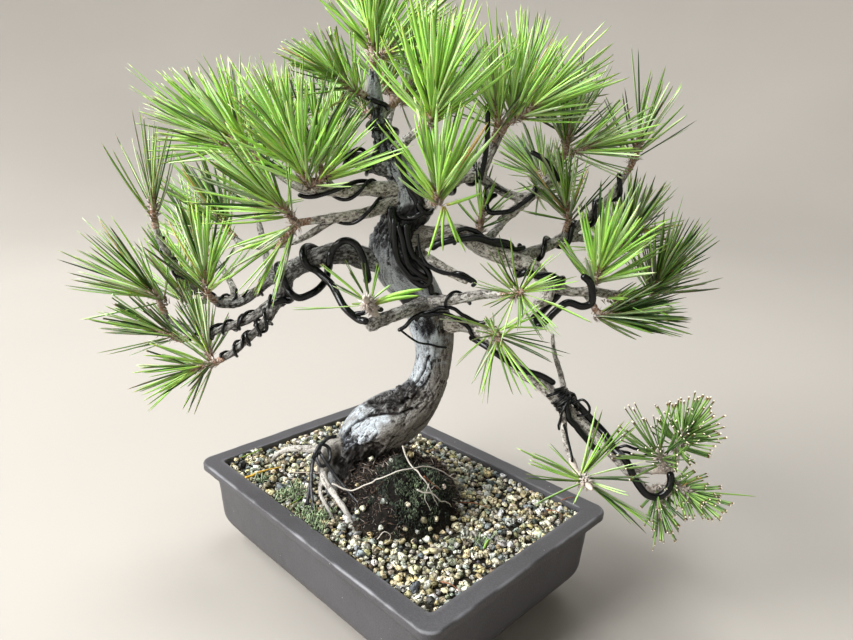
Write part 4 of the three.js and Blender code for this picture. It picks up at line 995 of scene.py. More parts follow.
def trunk_relief(angle, share):
    """Shallow ridges that wind along the trunk, and a foot that widens in five lobes."""
    ridges = 0.045 * np.sin(5 * angle + 26 * share) + 0.03 * np.sin(3 * angle - 41 * share)
    return 1 + ridges + np.maximum(0, 0.13 - share) * (1.6 + 1.1 * np.sin(5 * angle + 1))


def branch_relief(angle, share):
    """Nodes on a branch: a slight swelling every little way."""
    return 1 + 0.07 * np.sin(37 * share + 2 * angle)


def limb_path(name):
    """A limb's middle line with its radius, every 2 mm."""
    return smooth_path(LIMBS[name], 2)


def skin_of(names, voxel, rounds):
    """One skin over several limbs: closed tubes, made one by a grid of cubes of this size and smoothed
    this many times. Returns points, faces and normals."""
    tubes = []
    for name in names:
        path = limb_path(name)
        sides = int(np.clip(path[0, 3] * 2.4, 10, 40))
        tubes.append(tube(path, sides, trunk_relief if name == "trunk" else branch_relief))
    body = in_scene("skin", make_mesh("skin", *joined(tubes)))
    skin = body.modifiers.new("skin", "REMESH")
    skin.mode = "VOXEL"
    skin.voxel_size = voxel / 1000
    soft = body.modifiers.new("soft", "SMOOTH")
    soft.factor = 0.5
    soft.iterations = rounds
    return applied(body)


def distances(points, middles):
    """The distances from points to all the middles, for 4000 points at a time, with their slice."""
    for start in range(0, len(points), 4000):
        part = slice(start, start + 4000)
        here = points[part]
        square = (here ** 2).sum(1)[:, None] - 2 * here @ middles.T + (middles ** 2).sum(1)
        yield part, np.sqrt(np.maximum(square, 0))


def nearest_on(points, names):
    """The nearest limb's station for each point, which is the one whose distance, less its radius, is
    least: the way out from it, its radius, its directions and place along the limb, its limb's number."""
    stations = []
    for number, name in enumerate(names):
        path = limb_path(name)
        _, across, side = carried_frames(path)
        arc = np.arange(len(path)) * np.linalg.norm(path[1, :3] - path[0, :3])
        stations.append(np.column_stack([path, across, side, arc, np.full(len(path), number)]))
    stations = np.vstack(stations)
    found = np.empty(len(points), int)
    for part, distance in distances(points, stations[:, :3]):
        found[part] = (distance - stations[:, 3]).argmin(1)
    nearest = stations[found]
    return points - nearest[:, :3], nearest[:, 3], nearest[:, 4:11], nearest[:, 11]


def places_on(points, names):
    """The place of each point on its limb, as if the limb were straight: [distance along it, and two
    distances across it], with the limb's radius there and its number."""
    out, radius, ways, limb = nearest_on(points, names)
    across = (out * ways[:, :3]).sum(1)
    side = (out * ways[:, 3:6]).sum(1)
    return np.column_stack([ways[:, 6], across, side]), radius, limb


def balls(points, spots, seed=0):
    """How deep points lie in the nearest of several soft balls, each [x, y, z, radius]: 0 outside, 1
    well inside, with an edge that noise makes ragged."""
    ragged = 1 + 0.3 * rough_noise(points / 5, 2, 60 + seed)
    inside = [1 - smoothly(0.55, 1, np.linalg.norm(points - spot[:3], axis=1) * ragged / spot[3])
              for spot in np.asarray(spots, float)]
    return np.max(inside, axis=0)


def near_lines(points, lines):
    """The distance from each point to the nearest of several smooth lines."""
    dots = np.vstack([smooth_path(line, 0.8) for line in lines])
    least = np.empty(len(points))
    for part, distance in distances(points, dots):
        least[part] = distance.min(1)
    return least


# Lines and patches of the trunk's front, placed as they are seen from the viewpoint: a patch is
# [x, y, z, radius]
VIEWPOINT = np.array([19.7, -407.6, 306.4])
VIEW_PLANE = 390
CREVICES = [
    [[-31, -17, 108], [-29, -17, 112], [-27, -17, 115], [-24, -17, 118], [-20, -17, 120], [-16, -17, 123],
        [-10, -17, 124], [-5, -17, 125], [2, -17, 125], [8, -17, 127], [12, -17, 129]],
    [[12, -17, 146], [15, -17, 148], [17, -17, 152], [19, -17, 156], [20, -17, 161], [22, -17, 165]],
    [[-33, -17, 101], [-28, -17, 104], [-22, -17, 101], [-14, -17, 103], [-6, -17, 101]],
    [[-16, -17, 135], [-9, -17, 133], [-1, -17, 135], [4, -17, 132], [9, -17, 136]],
]
CRACKS = [
    [[14, -17, 129], [21, -17, 138], [26, -17, 145], [29, -17, 151]],
    [[8, -17, 118], [18, -17, 127], [25, -17, 136], [30, -17, 144]],
    [[14, -17, 114], [21, -17, 120], [26, -17, 128], [29, -17, 134]],
    [[24, -17, 130], [26, -17, 136], [25, -17, 141]],
    [[-11, -17, 120], [-12, -17, 116], [-10, -17, 112], [-11, -17, 109]],
    [[12, -17, 135], [16, -17, 142], [22, -17, 150], [25, -17, 160], [26, -17, 172]],
    [[20, -17, 168], [21, -17, 176], [19, -17, 184]],
]
PLATE = [[-6, -17, 117, 7], [-1, -17, 118, 7], [-7, -17, 113, 5], [2, -17, 121, 5]]
FLAKES = [[-16, -16, 90, 18], [-30, -12, 96, 15], [20, -10, 182, 8], [0, 0, 240, 24], [-10, 3, 300, 20]]
# Pale silver patches, partly painted highlight
PALE = [[-25, -17, 114, 10], [-19, -17, 116, 9], [-14, -17, 115, 7], [-18, -17, 111, 7], [-24, -17, 107, 9],
        [-29, -17, 104, 8], [-20, -17, 132, 6], [-27, -17, 125, 7], [-31, -17, 116, 9], [-5, -17, 121, 5],
        [16, -17, 156, 11], [15, -17, 164, 15], [17, -17, 173, 16], [15, -17, 183, 15], [17, -17, 149, 7],
        [-12, -17, 119, 7], [9, -17, 148, 5]]
HUMP = [[-15, -17, 133, 6], [-7, -17, 134, 9], [0, -17, 135, 9], [7, -17, 137, 9], [11, -17, 141, 8],
        [-9, -17, 129, 5], [-1, -17, 130, 6], [7, -17, 133, 6]]
SHADED = [[5, -17, 241, 8], [12, -17, 233, 9], [9, -17, 221, 8], [13, -17, 248, 10], [17, -17, 239, 10],
          [15, -17, 225, 8], [9, -17, 255, 8]]
# Balls of painted shade at the trunk's foot and under its lower branches
SHADE_SPOTS = [[-18, -10, 84, 24], [-2, -14, 84, 19], [-32, -6, 86, 12], [-10, -16, 70, 22], [8, -12, 88, 12],
        [10, -3, 200, 10]]
KNOT = [[22, -12, 182, 5.2]]
# How much paler than old bark a limb is, from 0 to 1
ROOT_LIGHT = np.array([0, 0.3, 0.9, 0.9, 0.7, 0.25, 0.25])
BRANCH_LIGHT = {"left_main": 0.15, "left_upper": 0.2, "left_low": 0.3, "left_mid": 0.3, "rear_knob": 0.1,
                "cut_front": 0.4, "lower": 0.9, "lower_fork": 1, "lower_end": 1, "right_cut": 1.2,
                "right_up": 1, "right_main": 0.9, "right_low": 0.85, "upper_left": 0.9, "left_shoulder": 0.8}


def as_seen(points):
    """Points moved along their lines of sight to one upright plane in front of the viewpoint."""
    offset = np.asarray(points, float)[:, :3] - VIEWPOINT
    return offset / offset[:, 1:2] * VIEW_PLANE


def seen_balls(points, spots, seed):
    """How deep points lie in soft balls, both as they are seen from the viewpoint."""
    spots = np.asarray(spots, float)
    return balls(as_seen(points), np.column_stack([as_seen(spots), spots[:, 3]]), seed)


def trunk_bark(points, normals):
    """Old bark: plates longer than they are wide, parted by cracks and cut by a few long crevices, and
    fine scales where it flakes, with painted shade in its crevices, cracks and hollow, at its foot and
    on its hub, and painted light on its side turned to the key light. Returns the moved points, their
    looks and their places on straightened limbs."""
    place, _, limb = places_on(points, SUNK)
    is_trunk = limb == SUNK.index("trunk")
    facing = smoothly(0, 0.3, (normals * unit(VIEWPOINT - points)).sum(1)) * is_trunk
    hump = seen_balls(points, HUMP, 4) * facing
    flaky = np.maximum(balls(points, FLAKES) * is_trunk, hump)
    warp = three_noises(place / 9, 70, 2)
    long_gap, long_draw = plates((place + 2 * warp) / [17, 5.2, 5.2], 4)
    short_gap, short_draw = plates((place + 1.3 * warp) / [4.4, 2.8, 2.8], 5)
    broken = smoothly(-0.25, 0.25, soft_noise(place / [13, 5, 5], 12))
    cracks = (1 - smoothly(0.0, 0.09, long_gap)) * broken
    fibres = 0.5 + 0.5 * rough_noise(place / [6, 1.2, 1.2], 3, 7)
    smooth_relief = (0.5 + 0.16 * long_draw + 0.34 * fibres) * (1 - 0.85 * cracks)
    flaky_relief = smoothly(0.0, 0.3, short_gap) * (0.3 + 0.7 * short_draw) * (0.6 + 0.4 * fibres)
    relief = (1 - flaky) * smooth_relief + flaky * flaky_relief
    plate = seen_balls(points, PLATE, 6) * facing
    relief = relief * (1 - 0.6 * plate) + 0.45 * plate
    line = near_lines(as_seen(points), [as_seen(each) for each in CREVICES])
    line = line + 0.5 * soft_noise(points / 2, 8)
    crack = near_lines(as_seen(points), [as_seen(each) for each in CRACKS])
    crack = crack + 0.4 * soft_noise(points / 1.5, 18)
    crack = (1 - smoothly(0.1, 0.7, crack)) * facing
    groove = (1 - smoothly(0.2, 1.5, line)) * facing
    slit = (1 - smoothly(0.1, 0.7, line)) * facing
    hollow = balls(points, KNOT) * is_trunk
    depth = np.where(is_trunk, 1 + 1.3 * flaky, 0.4)
    lumps = flaky * (1.5 * soft_noise(points / 7, 11) + 1.5 * soft_noise(points / 3.2, 14))
    lumps = lumps + 1.5 * hump * rough_noise(points / 4, 3, 17)
    out = depth * (relief - 0.6) - 1.9 * groove - 0.7 * crack - 2.2 * hollow + lumps + 0.9 * plate
    shade = np.clip(relief * (1 - 0.95 * groove) * (1 - 0.85 * hollow), 0, 1)
    # Painted light: the side turned up and to the left, towards the key light, is paler; the pale patches are
    # silver bark, partly painted highlight.
    toward_key_light = 0.3 * normals[:, 2] - 0.85 * normals[:, 0]
    lit_side = smoothly(-0.1, 0.75, toward_key_light + 0.3 * soft_noise(points / 11, 15))
    pale = np.maximum(0.55 * lit_side, seen_balls(points, PALE, 3) * facing)
    pale = pale * (0.45 + 0.55 * smoothly(-0.55, -0.05, rough_noise(place / [3.5, 1.6, 1.6], 2, 19)))
    pale = np.maximum(pale, 0.6 * smoothly(186, 200, points[:, 2])) * is_trunk * (1 - 0.5 * hump)
    # Painted shade: patchy on the rear root's underside, at the foot and near the soil, under the lower
    # branches, in crevices and cracks and on the hub; the flaky hump is darker bark.
    rear = smoothly(-0.25, 0.35, soft_noise(points / 12, 23) - 0.4 * normals[:, 2])
    dark_and_shade = np.maximum.reduce([
        0.92 * balls(points, SHADE_SPOTS, 2),
        0.85 * slit,
        0.75 * crack,
        0.5 * hump * smoothly(-0.3, 0.5, soft_noise(points / 4, 16)),
        0.9 * seen_balls(points, SHADED, 5) * facing,
        0.7 * rear * (limb == SUNK.index("root_back")),
        0.6 * smoothly(74, 62, points[:, 2]),
    ])
    shade = np.clip(shade - 0.25 * cracks * is_trunk, 0, 1)
    looks = np.column_stack([shade, pale, dark_and_shade, ROOT_LIGHT[limb.astype(int)]])
    return points + normals * out[:, None], looks, place + limb[:, None] * 40


def branch_bark(points, normals, names):
    """Young bark: small plates and scales, rougher on the stout branches. Returns the moved points,
    their looks and their places on straightened limbs."""
    place, radius, limb = places_on(points, names)
    place = place + limb[:, None] * [61, 0, 0]
    gap, draw = plates((place + 0.9 * three_noises(place / 4, 80, 2)) / [3.6, 2, 2], 6)
    fine = 0.5 + 0.5 * rough_noise(place / [1.6, 0.9, 0.9], 2, 9)
    relief = 0.7 * smoothly(0, 0.3, gap) * (0.45 + 0.55 * draw) + 0.3 * fine
    depth = np.clip(0.2 + 0.13 * radius, 0.3, 1.1)
    lumps = soft_noise(place / 9, 10)
    light = np.array([BRANCH_LIGHT.get(name, 0.6) for name in names])[limb.astype(int)]
    root = np.clip(light + 0.25 * lumps, 0, 1)
    pale = np.clip(0.35 + 0.3 * lumps, 0, 1)
    out = depth * (relief - 0.5)
    looks = np.column_stack([relief, pale, 0 * pale, root])
    return points + normals * out[:, None], looks, place


def make_wood():
    """The trunk with its surface roots, and the branches, as two pieces."""
    points, faces, normals = skin_of(SUNK, voxel=0.73, rounds=2)
    points, looks, places = trunk_bark(points, normals)
    make_piece("trunk_and_roots", in_row(points), faces, bark, looks, ["tree_wood"], places)
    names = [name for name in LIMBS if name not in SUNK]
    points, faces, normals = skin_of(names, voxel=0.83, rounds=3)
    points, looks, places = branch_bark(points, normals, names)
    make_piece("branches", in_row(points), faces, bark, looks, (), places)


# Wires


def wire_path(name):
    """The middle line of a packed wire, in mm, with its radius: rings of points are counted from the
    middle of one end, which lies at the mean of its neighbours, and each ring's mean is a station."""
    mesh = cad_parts[name].data
    places = np.empty(len(mesh.vertices) * 3)
    mesh.vertices.foreach_get("co", places)
    corners = np.empty(len(mesh.loops), int)
    mesh.loops.foreach_get("vertex_index", corners)
    places, index = np.unique(np.round(places.reshape(-1, 3) * 1000, 2), axis=0, return_inverse=True)
    faces = index.ravel()[corners].reshape(-1, 3)
    near = np.zeros((len(places), len(places)))
    for a, b in ((0, 1), (1, 2), (2, 0)):
        near[faces[:, a], faces[:, b]] = 1
        near[faces[:, b], faces[:, a]] = 1
    means = near @ places / near.sum(1)[:, None]
    level = np.full(len(places), -1)
    level[np.linalg.norm(means - places, axis=1).argmin()] = 0
    for ring in range(1, len(places)):
        reached = (near @ (level == ring - 1) > 0) & (level < 0)
        if not reached.any():
            break
        level[reached] = ring
    stations = []
    for ring in range(1, level.max()):
        reached = places[level == ring]
        middle = reached.mean(0)
        stations.append([*middle, np.linalg.norm(reached - middle, axis=1).mean()])
    return np.array(stations)


# Free wires: (points, radius)
FREE_WIRES = [
    ([[3, -16, 182], [11, -16, 176], [16, -15, 173], [24, -15, 171], [33, -10, 169]], 0.7),
    ([[-2, -14, 258], [-1, -17, 254], [-1, -19, 249], [-1, -19, 243], [0, -19, 234], [2, -18, 226],
        [6, -18, 220], [10, -18, 216], [17, -17, 215], [21, -15, 211], [22, -13, 205]], 2),
    ([[1, -19, 248], [4, -20, 239], [6, -20, 230], [9, -20, 223], [15, -19, 218], [20, -17, 215]], 1.8),
    ([[-3, -8, 292], [1, -15, 285], [5, -19, 275], [11, -20, 267], [16, -17, 260], [18, -8, 256]], 2),
    ([[34, -8, 240], [37, -13, 244], [41, -14, 246], [46, -13, 245], [52, -13, 243], [59, -14, 240],
        [68, -13, 238], [74, -9, 235], [79, -3, 231]], 1.5),
    ([[13, -16, 235], [13, -18, 229], [16, -20, 224], [21, -22, 222], [29, -25, 220], [37, -28, 222],
        [43, -29, 221], [47, -27, 217], [46, -22, 213]], 1.3),
    ([[-5, -8, 252], [-1, -15, 253], [6, -18, 251], [14, -19, 253], [20, -14, 255], [22, -6, 258]], 1.8),
    ([[86, 10, 268], [82, 4, 264], [69, 2, 256], [57, 2, 254], [55, 5, 259], [62, 12, 264]], 1.6),
    ([[55, 8, 261], [53, 5, 266], [56, 4, 270], [63, 6, 268], [68, 10, 265]], 0.9),
    ([[13, -14, 186], [22, -17, 193], [34, -18, 196], [47, -17, 191], [59, -19, 190]], 1.2),
    ([[2, -16, 181], [16, -18, 190], [31, -19, 194], [42, -19, 188], [50, -16, 180]], 1.3),
    ([[-6, -30, 196], [-12, -36, 200], [-20, -38, 198], [-26, -34, 196]], 1.5),
    ([[105, -42, 146], [109, -43, 136], [114, -44, 128], [119, -45, 122], [125, -43, 118],
        [130, -36, 116]], 1.9),
    ([[135, -46, 119], [141, -48, 120], [146, -50, 118], [152, -50, 117], [157, -48, 118]], 0.9),
    ([[135, -44, 118], [141, -48, 123], [147, -50, 122], [152, -50, 121], [157, -48, 118]], 0.9),
    ([[109, -42, 146], [114, -46, 151], [118, -47, 147], [118, -46, 142], [113, -43, 139]], 0.8),
    ([[106, -42, 148], [103, -44, 142], [101, -43, 135], [101, -40, 128]], 0.8),
    ([[104, -46, 135], [107, -48, 128], [109, -52, 121], [109, -56, 115]], 0.8),
]
# Windings: (limb, where it starts and ends as shares of the limb, turns, phase, radius)
WINDINGS = [
    ("left_low", 0.02, 0.7, 1.8, 3, 1), ("left_mid", 0.05, 0.7, 2, 0.4, 1),
    ("left_upper", 0.05, 0.6, 2, 1, 1), ("upper_left", 0.12, 0.7, 0.8, 4.4, 1.3),
    ("upper_left", 0.2, 0.6, 1.1, 5.4, 1.1), ("left_shoulder", 0.15, 0.75, 0.9, 5, 1.1),
    ("upper_right", 0.25, 0.7, 2, 1, 1.3), ("trunk", 0.83, 0.96, 2.6, 0.4, 1.6),
    ("rear_knob", 0.3, 0.9, 1.6, 1, 1.3), ("front_right", 0.1, 0.6, 1.6, 0, 0.9),
    ("lower", 0.16, 0.52, 0.5, 3.3, 1.9),
]
# Routes that stand in for packed ones: the same wires with their loose loops in full
ROUTES = {
    "wire_left_main": [[-14, -40, 192], [-22, -39, 196], [-29, -35, 201], [-34, -29, 207], [-39, -22, 212],
        [-46, -18, 216], [-52, -18, 220], [-55, -15, 225], [-54, -7, 230], [-50, 1, 228], [-45, 4, 219],
        [-44, -2, 211], [-47, -11, 206], [-52, -16, 203], [-59, -18, 201], [-64, -18, 204], [-68, -15, 211],
        [-69, -7, 216], [-68, 0, 210], [-70, -4, 202], [-72, -15, 198], [-76, -15, 196]],
    "wire_left_loop": [[-41, -10, 216], [-40, -16, 220], [-39, -18, 228], [-36, -18, 234], [-30, -17, 237],
        [-24, -18, 235], [-20, -18, 228], [-18, -17, 221], [-17, -13, 213], [-19, -5, 210]],
    "wire_lower": [[103, -33, 150], [109, -33, 147], [115, -34, 142], [121, -36, 136], [126, -39, 130.5],
        [131, -44, 126], [135, -49, 122], [139, -54, 119], [142, -57, 115], [145, -59, 109],
        [149, -61, 103], [154, -62, 98], [160, -62, 97], [165, -62, 101], [167, -61, 107], [166, -60, 113]],
    "wire_right_main": [[21, -12, 232], [25, -15, 235], [35, -16, 239], [46, -16, 241], [56, -15, 240],
        [64, -11, 236], [72, -3, 231], [76, 2, 225], [75, -4, 220], [77, -12, 221], [80, -16, 221],
        [86, -17, 219], [95, -16, 218], [101, -12, 212], [102, -6, 205], [97, -7, 199], [90, -16, 195],
        [85, -22, 193], [88, -25, 190], [92, -27, 194], [97, -27, 200], [104, -26, 205], [113, -26, 203],
        [118, -26, 205], [118, -27, 211], [116, -26, 218], [111, -24, 222]],
}


def wound(limb, first, last, turns, phase, radius):
    """A wire wound on a limb: it stands off the limb's middle line by both radii, and turns evenly."""
    path = smooth_path(LIMBS[limb], 0.8)
    _, across, side = carried_frames(path)
    part = slice(int(first * len(path)), int(last * len(path)))
    path, across, side = path[part], across[part], side[part]
    angle = phase + 2 * np.pi * turns * np.linspace(0, 1, len(path))
    reach = path[:, 3:] * 1.05 + radius
    return with_radius(path[:, :3] + reach * around(angle, across, side), radius)


def drawn_in(path, most=2.4):
    """A wire drawn in to the limb under it: each station moves straight towards the nearest limb's
    middle line until it touches the bark, or out of the bark, by no more than most, and the moves are
    evened out over a few stations."""
    path = path.copy()
    for _ in range(3):
        out, reach, _, _ = nearest_on(path[:, :3], list(LIMBS))
        away = np.linalg.norm(out, axis=1)
        gap = away - 1.04 * reach - path[:, 3] - 0.1
        step = np.where(gap < most, np.maximum(gap, -6), 0)
        kernel = np.ones(9) / 9
        move = -out / away[:, None] * step[:, None]
        padded = np.pad(move, ((4, 4), (0, 0)), "edge")
        path[:, :3] += np.stack([np.convolve(column, kernel, "valid") for column in padded.T], -1)
    return path


def coil(middle, forward, radius, turns, seed, wire_radius):
    """A wire wound round a point: a circle about the direction forward that moves on by a little over
    its own thickness each turn, and wavers."""
    forward = unit(np.array(forward, float))
    across = unit(np.cross(forward, [0.3, 0.2, 0.9]))
    side = np.cross(across, forward)
    turn = np.linspace(0, 2 * np.pi * turns, int(30 * turns))
    waver = np.stack([soft_noise(np.stack([turn, 0 * turn, 0 * turn + k], -1), seed) for k in range(3)], -1)
    along = (turn / (2 * np.pi) - turns / 2) * wire_radius * 2.3
    ring = around(turn, across, side) * (radius + 0.5 * waver[:, :1])
    points = np.array(middle) + forward * along[:, None] + ring + 0.5 * waver
    return with_radius(points, wire_radius)


# Coils round the lower branch: (middle, direction of its axis, radius, turns, seed)
COILS = [
    ([104, -35, 146], [0.7, -0.3, -0.7], 6, 3.2, 1),
    ([108, -37, 141], [0.3, -0.8, -0.3], 5.4, 1.6, 2),
    ([100, -34, 150], [0.4, -0.4, -0.8], 5.6, 1.5, 3),
]


def make_wires():
    """Each packed wire as a piece that stands for its node, and the thin wires as one piece."""
    for name in sorted(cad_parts):
        if not name.startswith("wire_"):
            continue
        packed = wire_path(name)
        if name in ROUTES:
            packed = with_radius(ROUTES[name], 1.08 * packed[:, 3].mean())
        else:
            packed[:, :3] = (packed[:, :3] - POT_MIDDLE) @ TREE_AXES.T
        points, faces = tube(round_ended(drawn_in(smooth_path(packed, 0.9))), 14)
        make_piece(name.replace("wire_", "wound_wire_"), in_row(points), faces, wire, None, [name])
    parts = []
    for line, radius in FREE_WIRES:
        parts.append(tube(round_ended(drawn_in(smooth_path(with_radius(line, radius), 0.8))), 12))
    parts += [tube(round_ended(wound(*each)), 12) for each in WINDINGS]
    parts += [tube(round_ended(coil(*each, wire_radius=0.95)), 10) for each in COILS]
    points, faces = joined(parts)
    make_piece("small_wires", in_row(points), faces, wire)


# Root tie

TIE_STRIPS = [
    [[-38, -10, 104], [-43, -13, 104], [-50, -15, 97], [-53, -18, 88], [-54, -21, 77], [-55, -27, 66],
        [-55, -30, 57]],
    [[-50, -15, 97], [-53, -19, 86], [-53, -25, 76], [-51, -32, 66], [-50, -36, 57]],
    [[-50, -15, 97], [-45, -20, 92], [-36, -25, 82], [-23, -35, 72], [-10, -47, 67], [-6, -52, 60]],
    [[-48, -14, 99], [-50, -19, 92], [-46, -22, 88], [-42, -18, 90], [-43, -13, 97], [-48, -13, 100]],
    [[-44, -12, 103], [-49, -18, 99], [-52, -19, 93], [-50, -16, 88]],
]


def strip(points, width, thickness):
    """A flat band with rounded edges along a path: an ellipse whose long axis lies across the path and
    level with the wood behind it, and whose short axis is its thickness."""
    path = smooth_path(with_radius(points, width / 2), 1.2)
    forward = unit(np.gradient(path[:, :3], axis=0))
    out = np.array([-0.35, -1, 0.1])
    out = unit(out - forward * (forward @ out)[:, None])
    across = np.cross(out, forward)
    angle = np.linspace(0, 2 * np.pi, 12, endpoint=False)
    wide = np.sign(np.cos(angle)) * np.abs(np.cos(angle)) ** 0.6 * width / 2
    deep = np.sin(angle) * thickness / 2
    waver = 1 + 0.12 * soft_noise(path[:, :3] / 5, 90)
    ring = across[:, None] * wide[:, None] * waver[:, None, None] - out[:, None] * deep[:, None]
    return capped((path[:, None, :3] + ring)[:, ::-1])


def make_root_tie():
    """The knotted plastic strip, as one piece that stands for its node."""
    points, faces = joined([strip(each, width=2.5, thickness=1.1) for each in TIE_STRIPS])
    make_piece("root_tie_band", in_row(points), faces, strap, None, ["root_tie"])


# Shoots and needles


def shoot(at, towards, length=1, rear=62, tip=12, pairs=60, tone=0.6, cut=0, width=1, tips=()):
    """A shoot: where its needles start, which way it points, its needles' length, how far they lean
    from it at its rear and at its tip in degrees, how many pairs it bears, how bright they are, the
    share of them that were cut, how wide they are, and where each pair ends if that is given."""
    return {
        "at": np.array(at, float), "towards": unit(np.array(towards, float)),
        "length": length * NEEDLE_LENGTH, "rear": rear, "tip": tip, "pairs": pairs, "tone": tone,
        "cut": cut, "width": width, "tips": np.array(tips, float),
    }


